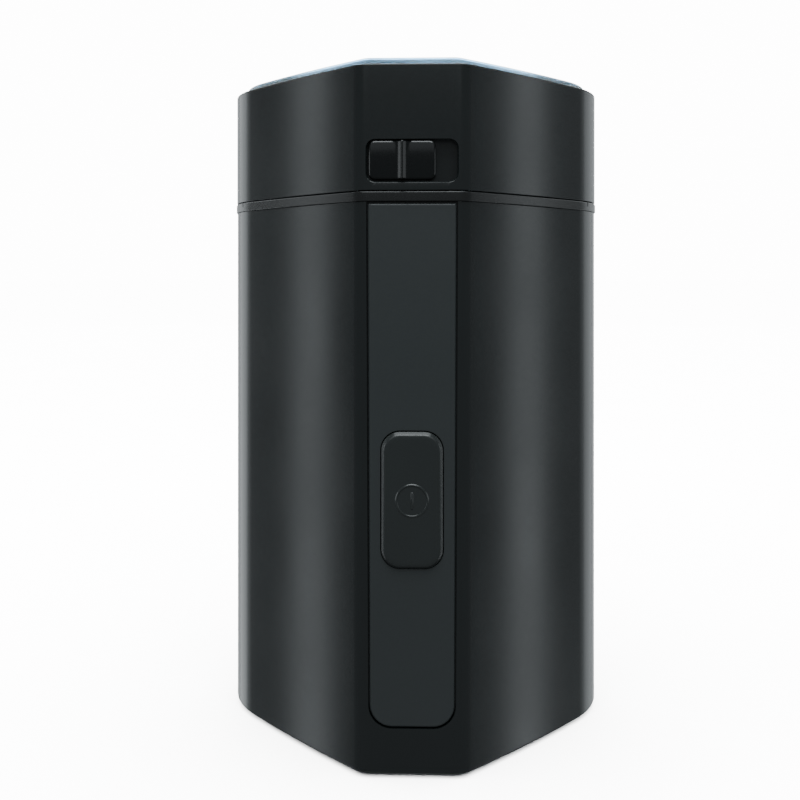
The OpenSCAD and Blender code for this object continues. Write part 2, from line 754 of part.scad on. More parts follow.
module spring(radius, wire, bottom, top, turns) {
    sides = 6;
    steps = 12;
    count = turns * steps;
    rise = top - bottom - 2 * wire;
    function corner(i, k) =
        let (a = 360 * i / steps)
        let (b = 360 * k / sides)
        let (r = radius + wire * cos(b))
        [r * cos(a), r * sin(a), bottom + wire + rise * i / count + wire * sin(b)];
    points = [for (i = [0 : count]) for (k = [0 : sides - 1]) corner(i, k)];
    walls = [
        for (i = [0 : count - 1]) for (k = [0 : sides - 1])
            let (here = i * sides)
            let (next = (k + 1) % sides)
            [here + k, here + next, here + sides + next, here + sides + k]
    ];
    first_cap = [for (k = [sides - 1 : -1 : 0]) k];
    last_cap = [for (k = [0 : sides - 1]) count * sides + k];
    polyhedron(points, concat(walls, [first_cap, last_cap]));
}

// ---- Housing ----

function strip_outline(grow) =
    let (low = shell_bottom + strip_rise - grow)
    let (high = deck_z - strip_top_gap)
    let (top_half = strip_top_width / 2 + grow)
    let (low_half = strip_bottom_width / 2 + grow)
    let (r = strip_corner_r + grow)
    concat(
        [[top_half, high], [-top_half, high]],
        arc([-low_half + r, low + r], r, 180, 270, 8),
        arc([low_half - r, low + r], r, 270, 360, 8)
    );

function button_outline(grow) = rounded(
    [-button_width / 2 - grow, button_z - button_height / 2 - grow],
    [button_width / 2 + grow, button_z + button_height / 2 + grow],
    button_corner_r + grow
);

module button_hole(front, back) upright(front, back) polygon(button_outline(moving_gap));

module shell_bosses() {
    at_faces(base_screw_reach) {
        rod(base_top, boss_top, base_boss_r);
        block([0, -rib_thickness / 2, base_top],
              [base_boss_r + boss_rib_reach + shell_wall / 2, rib_thickness / 2, boss_top]);
    }
    for (place = carrier_screw_places) translate(place) rod(boss_bottom, deck_under, carrier_boss_r);
    both_ways()
        block([carrier_screw_side, -rib_thickness / 2, boss_bottom],
              [side_reach - shell_wall / 2, rib_thickness / 2, deck_under]);
    for (x = [-carrier_screw_spread, carrier_screw_spread])
        block([x - rib_thickness / 2, carrier_screw_back, boss_bottom],
              [x + rib_thickness / 2, front_reach - shell_wall / 2, deck_under]);
    for (place = bracket_screw_places) rod_y(place.x, place.y, pad_inner - eps, switch_back, bracket_post_r);
}

// The hollow inside the shell: narrower at the ledge, and full width behind the front flat
module shell_cavity() {
    prism(shell_bottom - eps, deck_z + eps, shell_wall + ledge_width);
    prism(shell_bottom - eps, deck_under - ledge_height, shell_wall);
    prism(deck_under, deck_z + eps, shell_wall);
    intersection() {
        prism(shell_bottom - eps, deck_z + eps, shell_wall);
        block([-pad_half - ledge_free, -front_reach, shell_bottom],
              [pad_half + ledge_free, -ring_opening_r, deck_z]);
    }
}

module body_shell() color([0.17, 0.18, 0.18]) difference() {
    union() {
        difference() {
            bevelled_prism(shell_bottom, deck_z, 0, body_bevel, 0);
            shell_cavity();
        }
        block([-pad_half, -front_reach + shell_wall - eps, base_top], [pad_half, pad_inner, deck_z]);
        shell_bosses();
    }
    upright(-front_reach - eps, strip_back) polygon(strip_outline(strip_gap));
    block([-strip_top_width / 2 - strip_gap, -front_reach - eps, deck_z - 2 * strip_top_gap],
          [strip_top_width / 2 + strip_gap, strip_back, deck_z + eps]);
    button_hole(-front_reach, pad_inner + eps);
    rod_y(0, shell_bottom + gland_rise, front_reach - 2 * shell_wall, front_reach + eps, gland_r);
    at_faces(base_screw_reach) rod(base_top - eps, base_top + base_screw_length + screw_spare, screw_r);
    for (place = carrier_screw_places)
        translate(place) rod(deck_under - carrier_screw_length - screw_spare, deck_under + eps, screw_r);
    for (place = bracket_screw_places)
        rod_y(place.x, place.y, switch_back - small_screw_length - screw_spare, switch_back + eps, screw_r);
}

module latch_slot(bottom, top) block(
    [latch_slot_left, bolt_front - moving_gap, bottom],
    [latch_slot_right, bolt_back + moving_gap, top]
);

module trim_ring() color([0.3, 0.31, 0.32]) difference() {
    lip_inset = lid_inset + 2 * fixed_gap;
    lip_cut_half = lid_pad_half + lip_cut_gap;
    union() {
        prism(deck_z, ring_top, -ring_proud);
        difference() {
            prism(ring_top - eps, ring_top + lip_height, lip_inset);
            prism(ring_top, ring_top + lip_height + eps, lip_inset + lip_thickness);
            block([-lip_cut_half, -front_reach, ring_top],
                  [lip_cut_half, -front_reach / 2, lid_bottom + lip_height]);
        }
    }
    rod(deck_z - eps, ring_top + lip_height + eps, ring_opening_r);
    latch_slot(deck_z - eps, ring_top + eps);
    for (x = [-1, 1]) for (y = [-1, 1])
        translate([x * side_corner_centre(0).x, 0]) rotate(atan2(y * sin(notch_angle), x * cos(notch_angle)))
            block([side_corner_r - notch_width, -notch_width / 2, ring_top - notch_height],
                  [side_corner_r + 2 * ring_proud, notch_width / 2, ring_top + eps]);
}

module control_strip() color([0.16, 0.18, 0.18]) difference() {
    union() {
        upright(-front_reach + strip_bevel, strip_back) polygon(strip_outline(0));
        hull() {
            upright(-front_reach + strip_bevel, -front_reach + strip_bevel + slice) polygon(strip_outline(0));
            upright(-front_reach, -front_reach + slice) polygon(strip_outline(-strip_bevel));
        }
    }
    button_hole(-front_reach - eps, strip_back + eps);
}

module base_plate() color([0.15, 0.15, 0.15]) difference() {
    union() {
        difference() {
            prism(shell_bottom, base_top, shell_wall + fixed_gap);
            block([-pad_half - fixed_gap, -front_reach, base_top - eps / 2],
                  [pad_half + fixed_gap, pad_inner + fixed_gap, base_top + eps]);
        }
        for (side = [-1, 1]) {
            inner = -capacitor_reach + side * (capacitor_width / 2 + fixed_gap);
            outer = inner + side * clip_thickness;
            block([min(inner, outer), -capacitor_length / 4, base_top - eps],
                  [max(inner, outer), capacitor_length / 4, base_top + capacitor_height / 2]);
        }
    }
    for (x = [-slot_pitch * floor(vent_r / slot_pitch) : slot_pitch : vent_r]) {
        half = sqrt(max(pow(vent_r, 2) - pow(x, 2), pow(slot_web, 2)));
        for (side = [-1, 1])
            translate([x, side * (half + slot_web / 2) / 2, (shell_bottom + base_top) / 2])
                cube([slot_width, half - slot_web / 2, base_thickness + 2 * eps], center = true);
    }
    for (x = [-foot_x, foot_x]) for (y = [-foot_y, foot_y])
        translate([x, y, 0]) rod(shell_bottom - eps, shell_bottom + foot_seat, foot_r + fixed_gap / 2);
    at_faces(base_screw_reach) {
        rod(shell_bottom - eps, base_top + eps, screw_r + fixed_gap);
        rod(shell_bottom - eps, shell_bottom + screw_head, screw_head_r + fixed_gap);
    }
}

module rubber_feet() color([0.08, 0.08, 0.08]) for (x = [-foot_x, foot_x]) for (y = [-foot_y, foot_y])
    translate([x, y, 0]) rod(0, shell_bottom + foot_seat, foot_r);

module base_screws() color([0.6, 0.6, 0.6]) at_faces(base_screw_reach) {
    rod(shell_bottom, shell_bottom + screw_head, screw_head_r);
    rod(shell_bottom + screw_head / 2, base_top + base_screw_length, screw_r);
}

module cord_gland() color([0.1, 0.1, 0.1]) difference() {
    gland_z = shell_bottom + gland_rise;
    shell_inside = front_reach - shell_wall;
    union() {
        rod_y(0, gland_z, front_reach, front_reach + gland_proud, gland_flange_r);
        rod_y(0, gland_z, shell_inside - gland_inside, front_reach + eps, gland_r);
        rod_y(0, gland_z, shell_inside - gland_inside, shell_inside, gland_flange_r);
    }
    rod_y(0, gland_z, shell_inside - gland_inside - eps, front_reach + gland_proud + eps, cord_r);
}

// ---- Bowl and its carrier ----

module bowl_carrier() color([0.2, 0.2, 0.2]) difference() {
    guide_half = pin_head_r + pin_guide_wall;
    union() {
        prism(deck_under, deck_z, shell_wall + fixed_gap);
        rod(cup_bottom, deck_z, cup_outer_r);
        block([pin_x - guide_half, interlock_front, pin_guide_bottom],
              [pin_x + guide_half, -cup_r, pin_guide_top]);
        block([pin_x - interlock_length / 2, interlock_back, pin_guide_bottom - interlock_height],
              [pin_x + interlock_length / 2, -cup_r + cup_wall, pin_guide_top]);
    }
    rod(cup_floor_top, deck_z + eps, cup_r);
    rod(cup_bottom - eps, cup_floor_top + eps, seal_seat_r);
    block([-pad_half - fixed_gap, -front_reach, deck_under - eps],
          [pad_half + fixed_gap, pad_inner + fixed_gap, deck_z + eps]);
    latch_slot(deck_under - eps, deck_z + eps);
    at_faces(motor_screw_reach) rod(cup_bottom - eps, cup_floor_top + eps, screw_r + fixed_gap);
    for (place = carrier_screw_places) translate(place) {
        rod(deck_under - eps, deck_z + eps, screw_r + fixed_gap);
        rod(deck_z - screw_head - fixed_gap, deck_z + eps, screw_head_r + fixed_gap);
    }
    translate([pin_x, -pin_reach, 0]) rod(pin_guide_bottom - eps, pin_guide_top + eps, pin_r + running_gap);
}

module carrier_screws() color([0.6, 0.6, 0.6]) for (place = carrier_screw_places) translate(place)
    screw(deck_z - screw_head - fixed_gap, deck_thickness + carrier_screw_length - screw_head - fixed_gap);

module grinding_bowl() color([0.8, 0.8, 0.82]) rotate_extrude($fn = 96) {
    outer_r = bowl_r + bowl_sheet;
    corner = bowl_corner_r + bowl_sheet;
    polygon(concat(
        [[bowl_hole_r, bowl_bottom]],
        arc([outer_r - corner, bowl_bottom + corner], corner, 270, 360, 8),
        [[outer_r, deck_z], [flange_r, deck_z], [flange_r, flange_top], [bowl_r, flange_top]],
        arc([bowl_r - bowl_corner_r, bowl_floor + bowl_corner_r], bowl_corner_r, 360, 270, 8),
        [[bowl_hole_r, bowl_floor]]
    ));
}

module shaft_seal() color([0.35, 0.12, 0.1]) difference() {
    union() {
        rod(cup_bottom, bowl_bottom, seal_seat_r);
        rod(bowl_bottom - eps, bowl_floor + eps, bowl_hole_r);
        rod(bowl_floor, bowl_floor + seal_lip, seal_seat_r);
    }
    rod(cup_bottom - eps, bowl_floor + seal_lip + eps, shaft_r + running_gap);
}

module motor_dampers() color([0.12, 0.12, 0.12]) at_faces(motor_screw_reach)
    tube(motor_top, cup_bottom, damper_r, screw_r + fixed_gap);

module motor_screws() color([0.6, 0.6, 0.6]) at_faces(motor_screw_reach)
    screw(cup_floor_top, cup_floor + damper_height + 2 * bracket_floor);

// ---- Motor: fixed pieces ----

module at_stator_screws() for (x = [-stator_screw_reach, stator_screw_reach]) translate([x, 0, 0]) children();

module upper_bracket() color([0.62, 0.62, 0.6]) difference() {
    outer_r = stator_r + fixed_gap;
    union() {
        tube(stator_top, motor_top, outer_r, outer_r - bracket_wall);
        rod(upper_floor, motor_top, stator_r);
        rod(upper_floor - bearing_length / 2, motor_top + bracket_floor / 2, hub_r);
        at_faces(motor_screw_reach) rod(upper_floor - bracket_floor, upper_floor + eps, screw_head_r);
        at_stator_screws() rod(stator_top, stator_top + stator_flange, screw_head_r);
    }
    rod(upper_floor - bearing_length, motor_top + bracket_floor, bearing_r);
    at_faces(motor_screw_reach) rod(upper_floor - 2 * bracket_floor, motor_top + eps, screw_r);
    for (turn = [0 : 90 : 270]) rotate(turn)
        block([stator_r - yoke_width - eps, -bracket_window / 2, stator_top + stator_flange],
              [stator_r + bracket_wall, bracket_window / 2, upper_floor - bracket_floor / 2]);
    at_stator_screws() rod(stator_top - eps, stator_top + stator_flange + eps, screw_r + fixed_gap / 2);
}

module lower_bracket() color([0.62, 0.62, 0.6]) difference() {
    outer_r = stator_r + fixed_gap;
    union() {
        tube(lower_floor, stator_bottom, outer_r, outer_r - bracket_wall);
        rod(lower_floor, lower_floor_top, stator_r);
        rod(lower_floor, lower_journal - washer_thickness - moving_gap, hub_r);
        at_stator_screws() rod(stator_bottom - lower_boss, stator_bottom, screw_head_r);
        both_ways() brush_box(brush_pad, stator_r - brush_pad_depth, stator_r);
    }
    rod(lower_floor - eps, lower_journal, bearing_r);
    at_stator_screws() rod(stator_bottom - lower_boss + screw_spare, stator_bottom + eps, screw_r);
    both_ways() {
        brush_box(holder_wall + fixed_gap, stator_r - brush_pad_depth - 2 * eps, stator_r + bracket_wall);
        block([-bracket_window / 2, stator_r - 2 * bracket_wall, lower_floor_top + bracket_wall],
              [bracket_window / 2, stator_r + bracket_wall, stator_bottom - 2 * bracket_wall]);
        for (turn = [60 : 30 : 120]) rotate(turn)
            translate([(hub_r + stator_r - bracket_wall) / 2, 0, 0])
                rod(lower_floor - eps, lower_floor_top + eps, floor_hole_r);
    }
}

module upper_bearing() color([0.7, 0.5, 0.3])
    tube(upper_journal + washer_thickness, motor_top + bracket_floor / 2, bearing_r, shaft_r + running_gap);

module lower_bearing() color([0.7, 0.5, 0.3])
    tube(lower_floor, lower_journal - washer_thickness, bearing_r, shaft_r + running_gap);

module shoe_sector(outer, angle) polygon([
    [0, 0], [outer * sin(angle), outer * cos(angle)], [outer * sin(angle), 2 * outer],
    [-outer * sin(angle), 2 * outer], [-outer * sin(angle), outer * cos(angle)]
]);

module stator_section() {
    bore = armature_r + air_gap;
    difference() {
        circle(stator_r, $fn = 96);
        circle(stator_r - yoke_width, $fn = 96);
        at_stator_screws() circle(screw_r + fixed_gap);
    }
    both_ways() {
        difference() {
            translate([-pole_half, 0]) square([2 * pole_half, stator_r - yoke_width / 2]);
            circle(bore + shoe_thickness / 2, $fn = 96);
        }
        intersection() {
            difference() {
                circle(bore + shoe_thickness, $fn = 96);
                circle(bore, $fn = 96);
            }
            shoe_sector(bore + shoe_thickness, shoe_angle);
        }
    }
}

module stator_core() color([0.45, 0.46, 0.48])
    translate([0, 0, stator_bottom]) linear_extrude(stack_height) stator_section();

module field_coils() color([0.72, 0.38, 0.18]) {
    inner = armature_r + air_gap + shoe_thickness + moving_gap;
    outer = stator_r - yoke_width - moving_gap;
    window_half = pole_half + moving_gap;
    both_ways() intersection() {
        upright(inner * cos(shoe_angle) + 2 * eps, outer) difference() {
            polygon(rounded([-window_half - coil_width, stator_bottom - coil_overhang],
                            [window_half + coil_width, stator_top + coil_overhang], coil_corner_r));
            polygon(rounded([-window_half, stator_bottom - moving_gap],
                            [window_half, stator_top + moving_gap], coil_corner_r / 4));
        }
        tube(stator_bottom - coil_overhang - eps, stator_top + coil_overhang + eps, outer, inner);
    }
}

module stator_screws() color([0.6, 0.6, 0.6]) at_stator_screws()
    screw(stator_top + stator_flange, stator_flange + stack_height + lower_boss - 2 * screw_spare);

module brush_box(grow, from, to) block(
    [from, -brush_width / 2 - grow, brush_z - brush_height / 2 - grow],
    [to, brush_width / 2 + grow, brush_z + brush_height / 2 + grow]
);

module brush_holders() color([0.75, 0.6, 0.3]) both_ways() difference() {
    brush_box(holder_wall + running_gap, commutator_r + 3 * moving_gap, stator_r + brush_cap / 2);
    brush_box(running_gap, commutator_r, stator_r + brush_cap);
}

module carbon_brushes() color([0.15, 0.15, 0.16]) both_ways() difference() {
    brush_box(0, commutator_r / 2, commutator_r + brush_length);
    rod(brush_z - brush_height, brush_z + brush_height, commutator_r + running_gap);
}

module brush_springs() color([0.75, 0.75, 0.75]) both_ways()
    translate([commutator_r + brush_length, 0, brush_z]) rotate([0, 90, 0])
        spring(brush_width / 2 - 2 * brush_wire, brush_wire, 0,
               stator_r - brush_cap / 2 - commutator_r - brush_length, 5);

module brush_caps() color([0.1, 0.1, 0.1]) both_ways()
    brush_box(0, stator_r - brush_cap / 2, stator_r + brush_cap / 2);

module start_switch() color([0.9, 0.9, 0.88]) difference() {
    block([-switch_width / 2, switch_front, button_z - switch_height / 2],
          [switch_width / 2, switch_back, button_z + switch_height / 2]);
    rod_y(0, button_z, switch_front - eps, switch_front + switch_bore_depth, button_stem_r + running_gap);
}

module switch_bracket() color([0.25, 0.25, 0.25]) difference() {
    upright(switch_back, bracket_back) polygon(rounded(
        [-bracket_half, button_z - bracket_reach], [bracket_half, button_z + bracket_reach], bracket_post_r
    ));
    for (place = bracket_screw_places)
        rod_y(place.x, place.y, switch_back - eps, bracket_back + eps, screw_r + fixed_gap / 2);
}

module switch_screws() color([0.6, 0.6, 0.6])
    for (place = bracket_screw_places) small_screw(place.x, place.y, bracket_back);

module interlock_switch() color([0.9, 0.9, 0.88]) difference() {
    block([pin_x - interlock_length / 2, interlock_front, pin_guide_bottom - interlock_height],
          [pin_x + interlock_length / 2, interlock_back, pin_guide_bottom]);
    translate([pin_x, -pin_reach, 0])
        rod(pin_end - pin_travel - moving_gap, pin_guide_bottom + eps, pin_r + running_gap);
}

module suppression_capacitor() color([0.75, 0.65, 0.2])
    block([-capacitor_reach - capacitor_width / 2, -capacitor_length / 2, base_top],
          [-capacitor_reach + capacitor_width / 2, capacitor_length / 2, base_top + capacitor_height]);

// ---- Motor: turning pieces ----

module armature_shaft() color([0.7, 0.7, 0.72]) {
    rod(shaft_bottom, shaft_top, shaft_r);
    rod(lower_journal, upper_journal, journal_r);
}

module at_slots()
    for (i = [0 : slot_count - 1]) rotate(360 * i / slot_count) translate([slot_reach, 0, 0]) children();

module armature_core() color([0.5, 0.5, 0.52])
    translate([0, 0, stator_bottom]) linear_extrude(stack_height) difference() {
        circle(armature_r, $fn = 96);
        circle(journal_r);
        at_slots() {
            circle(slot_r, $fn = 24);
            translate([0, -slot_mouth / 2]) square([armature_r, slot_mouth]);
        }
    }

module armature_windings() color([0.75, 0.35, 0.15]) {
    at_slots()
        rod(stator_bottom - head_height / 2, stator_top + head_height / 2, slot_r - fixed_gap, $fn = 24);
    for (low = [stator_bottom - head_height, stator_top + moving_gap])
        tube(low, low + head_height - moving_gap, slot_reach + slot_r, journal_r + insulation);
}

module commutator() color([0.8, 0.5, 0.3]) difference() {
    top = stator_bottom - head_height - moving_gap;
    union() {
        rod(top - commutator_length, top, commutator_r);
        rod(top - riser, top, commutator_r + riser);
    }
    rod(top - commutator_length - eps, top + eps, journal_r);
    for (i = [0 : bar_count - 1]) rotate(360 * i / bar_count)
        block([commutator_r - bar_depth, -bar_gap / 2, top - commutator_length - eps],
              [commutator_r + 2 * riser, bar_gap / 2, top + eps]);
}

module cooling_fan() color([0.2, 0.2, 0.22]) difference() {
    union() {
        rod(fan_bottom, fan_bottom + fan_height, journal_r + fan_hub_wall);
        rod(fan_bottom, fan_bottom + fan_wall, fan_r);
        intersection() {
            for (i = [0 : fan_blades - 1]) rotate(360 * i / fan_blades)
                block([journal_r + fan_wall, -fan_wall / 2, fan_bottom + fan_wall / 2],
                      [fan_r + fan_wall, fan_wall / 2, fan_bottom + fan_height]);
            rod(fan_bottom, fan_bottom + fan_height, fan_r);
        }
    }
    rod(fan_bottom - eps, fan_bottom + fan_height + eps, journal_r);
}

module thrust_washers() color([0.8, 0.8, 0.8]) {
    tube(lower_journal - washer_thickness, lower_journal, washer_r, shaft_r + running_gap);
    tube(upper_journal, upper_journal + washer_thickness, washer_r, shaft_r + running_gap);
}

module blade_hub() color([0.2, 0.2, 0.2]) tube(blade_hub_bottom, blade_bottom, blade_hub_r, shaft_r);

// The blade's plan: two tapered wings, each with one corner cut away as its cutting edge
module blade_plan() {
    root = blade_hub_r + blade_root;
    polygon([
        [-blade_half, -blade_tip_width / 2], [-root, -blade_width / 2],
        [root, -blade_width / 2], [blade_half - blade_tip_width / 2, -blade_tip_width / 2],
        [blade_half, blade_tip_width / 2], [root, blade_width / 2],
        [-root, blade_width / 2], [-blade_half + blade_tip_width / 2, blade_tip_width / 2]
    ]);
}

// The blade seen from its side: one wing turns down and the other turns up
module blade_profile() {
    root = blade_hub_r + blade_root;
    mid = (root + blade_half) / 2;
    knee = blade_thickness / 5;
    polygon([
        [-blade_half, -wing_drop], [-mid, -wing_drop * wing_early_drop], [-root, 0],
        [root, 0], [mid, wing_rise * wing_early_rise], [blade_half, wing_rise],
        [blade_half, wing_rise + blade_thickness],
        [mid - knee, wing_rise * wing_early_rise + blade_thickness],
        [root - knee, blade_thickness], [-root + knee, blade_thickness],
        [-mid, -wing_drop * wing_early_drop + blade_thickness], [-blade_half, -wing_drop + blade_thickness]
    ]);
}

module blade() color([0.82, 0.83, 0.85]) translate([0, 0, blade_bottom]) difference() {
    intersection() {
        translate([0, 0, -wing_drop - eps]) linear_extrude(wing_rise + wing_drop + blade_thickness + 2 * eps)
            blade_plan();
        upright(-blade_width, blade_width) blade_profile();
    }
    rod(-blade_thickness, 2 * blade_thickness, shaft_r);
}

module blade_nut() color([0.8, 0.8, 0.8]) difference() {
    union() {
        rotate(30) rod(nut_bottom, nut_bottom + nut_height - nut_crown, nut_across / 2 / cos(30), $fn = 6);
        rod(nut_bottom, nut_bottom + nut_height, nut_across / 2 - nut_crown);
    }
    rod(nut_bottom - eps, nut_bottom + nut_height + eps, shaft_r);
}

// ---- Lid ----

module at_guide_screws() for (x = [-guide_screw_x, guide_screw_x]) translate([x, 0, 0]) children();

module lid_shell() color([0.17, 0.18, 0.18]) difference() {
    neck_slot_half = neck_width / 2 + moving_gap;
    union() {
        difference() {
            bevelled_prism(lid_bottom, lid_top, -lid_proud, 0, lid_bevel);
            prism(lid_bottom - eps, window_seat - lid_deck_thickness, lid_inset);
            prism(window_seat, lid_top + eps, lid_inset);
            rod(lid_bottom, lid_top, collar_r + 2 * fixed_gap);
        }
        intersection() {
            prism(lid_bottom, window_seat, lid_inset - lid_wall / 2);
            block([-lid_pad_half, -lid_reach, lid_bottom],
                  [lid_pad_half, lid_pad_inner, window_seat - lid_deck_thickness + slice]);
        }
        at_guide_screws() rod_y(0, recess_mid, lid_pad_inner - eps, guide_front, guide_post_r);
    }
    upright(-lid_reach - eps, recess_floor) polygon(rounded(
        [-recess_width / 2, recess_low], [recess_width / 2, recess_low + recess_height], recess_corner_r
    ));
    block([slider_mid - neck_slot_half, recess_floor - eps, recess_mid - neck_height / 2 - moving_gap],
          [slider_mid + neck_slot_half + latch_travel, lid_pad_inner + eps,
           recess_mid + neck_height / 2 + moving_gap]);
    at_guide_screws()
        rod_y(0, recess_mid, guide_back - small_screw_length - bracket_thickness, guide_front + eps, screw_r);
}

module lid_window() color([0.75, 0.85, 0.9, 0.5]) difference() {
    window_inset = lid_inset + fixed_gap;
    union() {
        bevelled_prism(window_seat, window_top, window_inset, 0, window_bevel);
        rod(flange_top + seal_height, window_seat + eps, collar_r);
    }
    rod(flange_top, window_top - window_thickness, collar_inner_r);
    difference() {
        prism(window_seat - eps, window_top - window_thickness, window_inset + window_thickness);
        rod(window_seat - 2 * eps, window_top, collar_r);
    }
}

module lid_seal() color([0.85, 0.85, 0.85]) difference() {
    low = flange_top + moving_gap;
    rod(low, low + seal_height, collar_r + seal_wall);
    rod(low - eps, low + seal_height + eps, collar_inner_r - seal_wall);
    tube(flange_top + seal_height, low + seal_height + eps, collar_r, collar_inner_r - seal_wall);
}

module latch_guide() color([0.25, 0.25, 0.25]) difference() {
    slot_half = screw_head_r + moving_gap;
    upright(guide_front, guide_back) polygon(rounded(
        [-guide_half_width, recess_mid - guide_height / 2], [guide_half_width, recess_mid + guide_height / 2],
        guide_corner_r
    ));
    block([slider_mid - slot_half, guide_front - eps, recess_mid - slot_half],
          [slider_mid + latch_travel + slot_half, guide_back + eps, recess_mid + slot_half]);
    at_guide_screws() rod_y(0, recess_mid, guide_front - eps, guide_back + eps, screw_r + fixed_gap / 2);
}

module guide_screws() color([0.6, 0.6, 0.6]) at_guide_screws() small_screw(0, recess_mid, guide_back);

module detent_spring() color([0.75, 0.75, 0.78]) {
    leaf = detent_low + detent_tooth;
    block([-detent_half, bolt_front, leaf], [detent_half, bolt_back, leaf + detent_thickness]);
    for (x = [-detent_half, detent_half - detent_leg])
        block([x, lid_pad_inner, leaf], [x + detent_leg, bolt_back, leaf + 2 * detent_leg]);
    upright(bolt_front, bolt_back) polygon([
        [slider_mid - detent_tooth_half, leaf + slice], [slider_mid, detent_low],
        [slider_mid + detent_tooth_half, leaf + slice]
    ]);
}

// ---- Latch ----

module latch_slider() color([0.2, 0.21, 0.21]) {
    low = recess_low + slider_gap;
    high = low + slider_height;
    pad_x = (slider_width + ridge_width) / 4;
    difference() {
        upright(slider_front, slider_back)
            polygon(rounded([slider_left, low], [slider_left + slider_width, high], slider_corner_r));
        for (x = [-pad_x, pad_x]) translate([slider_mid + x, slider_front + pad_depth - pad_radius, 0])
            rod(low + pad_edge, high - pad_edge, pad_radius);
    }
    block([slider_mid - neck_width / 2, slider_back, recess_mid - neck_height / 2],
          [slider_mid + neck_width / 2, bolt_front, recess_mid + neck_height / 2]);
    translate([slider_mid, slider_front, low]) linear_extrude(slider_height) polygon([
        [-ridge_width / 2, pad_depth], [-ridge_width / 2, 0], [-ridge_crest / 2, -thumb_ridge],
        [ridge_crest / 2, -thumb_ridge], [ridge_width / 2, 0], [ridge_width / 2, pad_depth]
    ]);
}

module latch_bolt() color([0.55, 0.56, 0.58]) difference() {
    upright(bolt_front, bolt_back) polygon([
        [bolt_left, bolt_top], [bolt_left, recess_low], [stem_left, recess_low], [stem_left, bolt_low],
        [ramp_start, bolt_low], [toe_tip, toe_low], [toe_tip, toe_top], [stem_right, toe_top],
        [stem_right, recess_low], [bolt_right, recess_low], [bolt_right, bolt_top]
    ]);
    rod_y(slider_mid, recess_mid, bolt_front - eps, bolt_back + eps, screw_r);
}

module latch_screw() color([0.6, 0.6, 0.6]) {
    rod_y(slider_mid, recess_mid, bolt_back, bolt_back + screw_head, screw_head_r);
    rod_y(slider_mid, recess_mid, bolt_front, bolt_back + slice, screw_r);
}

// ---- Button and interlock ----

module start_button() color([0.2, 0.21, 0.21]) {
    bevel_back = button_front + button_bevel;
    stem_end = switch_front + switch_bore_depth - button_travel - moving_gap;
    difference() {
        union() {
            upright(bevel_back, flange_back) polygon(button_outline(0));
            hull() {
                upright(bevel_back, bevel_back + slice) polygon(button_outline(0));
                upright(button_front, button_front + slice) polygon(button_outline(-button_bevel));
            }
            upright(flange_front, flange_back) polygon(button_outline(button_flange));
        }
        upright(button_front + button_wall, flange_back + eps) polygon(button_outline(-button_wall - eps));
    }
    rod_y(0, button_z, button_front + button_wall - eps, stem_end, button_stem_r);
    upright(button_front - mark_height, button_front + slice) translate([0, button_z]) {
        difference() {
            circle(mark_r);
            circle(mark_r - mark_line);
        }
        translate([-mark_line / 2, -mark_r / 2]) square([mark_line, mark_r]);
    }
}

module interlock_pin() color([0.85, 0.85, 0.8]) translate([pin_x, -pin_reach, 0]) {
    side = 2 * pin_head_r;
    rod(pin_end, pin_head_bottom + eps, pin_r);
    difference() {
        rod(pin_head_bottom, pin_head_top + side / 2, pin_head_r);
        translate([0, 0, pin_head_top]) upright(-side, side)
            polygon([[-side, -side * ramp_slope], [side, side * ramp_slope], [side, side], [-side, side]]);
    }
}

module button_spring() color([0.75, 0.75, 0.75]) translate([0, flange_back, button_z]) rotate([-90, 0, 0])
    spring(button_coil_r, button_wire, 0, switch_gap, 4);

module interlock_spring() color([0.75, 0.75, 0.75]) translate([pin_x, -pin_reach, 0])
    spring((pin_r + pin_head_r) / 2, pin_wire, pin_guide_top, pin_head_bottom, 4);

body_shell();
trim_ring();
control_strip();
base_plate();
rubber_feet();
base_screws();
cord_gland();
bowl_carrier();
carrier_screws();
grinding_bowl();
shaft_seal();
motor_dampers();
motor_screws();
upper_bracket();
lower_bracket();
upper_bearing();
lower_bearing();
stator_core();
field_coils();
stator_screws();
brush_holders();
carbon_brushes();
brush_springs();
brush_caps();
start_switch();
switch_bracket();
switch_screws();
interlock_switch();
suppression_capacitor();
armature_shaft();
armature_core();
armature_windings();
commutator();
cooling_fan();
thrust_washers();
blade_hub();
blade();
blade_nut();
lid_shell();
lid_window();
lid_seal();
latch_guide();
guide_screws();
detent_spring();
latch_slider();
latch_bolt();
latch_screw();
start_button();
interlock_pin();
button_spring();
interlock_spring();
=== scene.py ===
import math
import bmesh
import bpy
from mathutils import Matrix, Vector


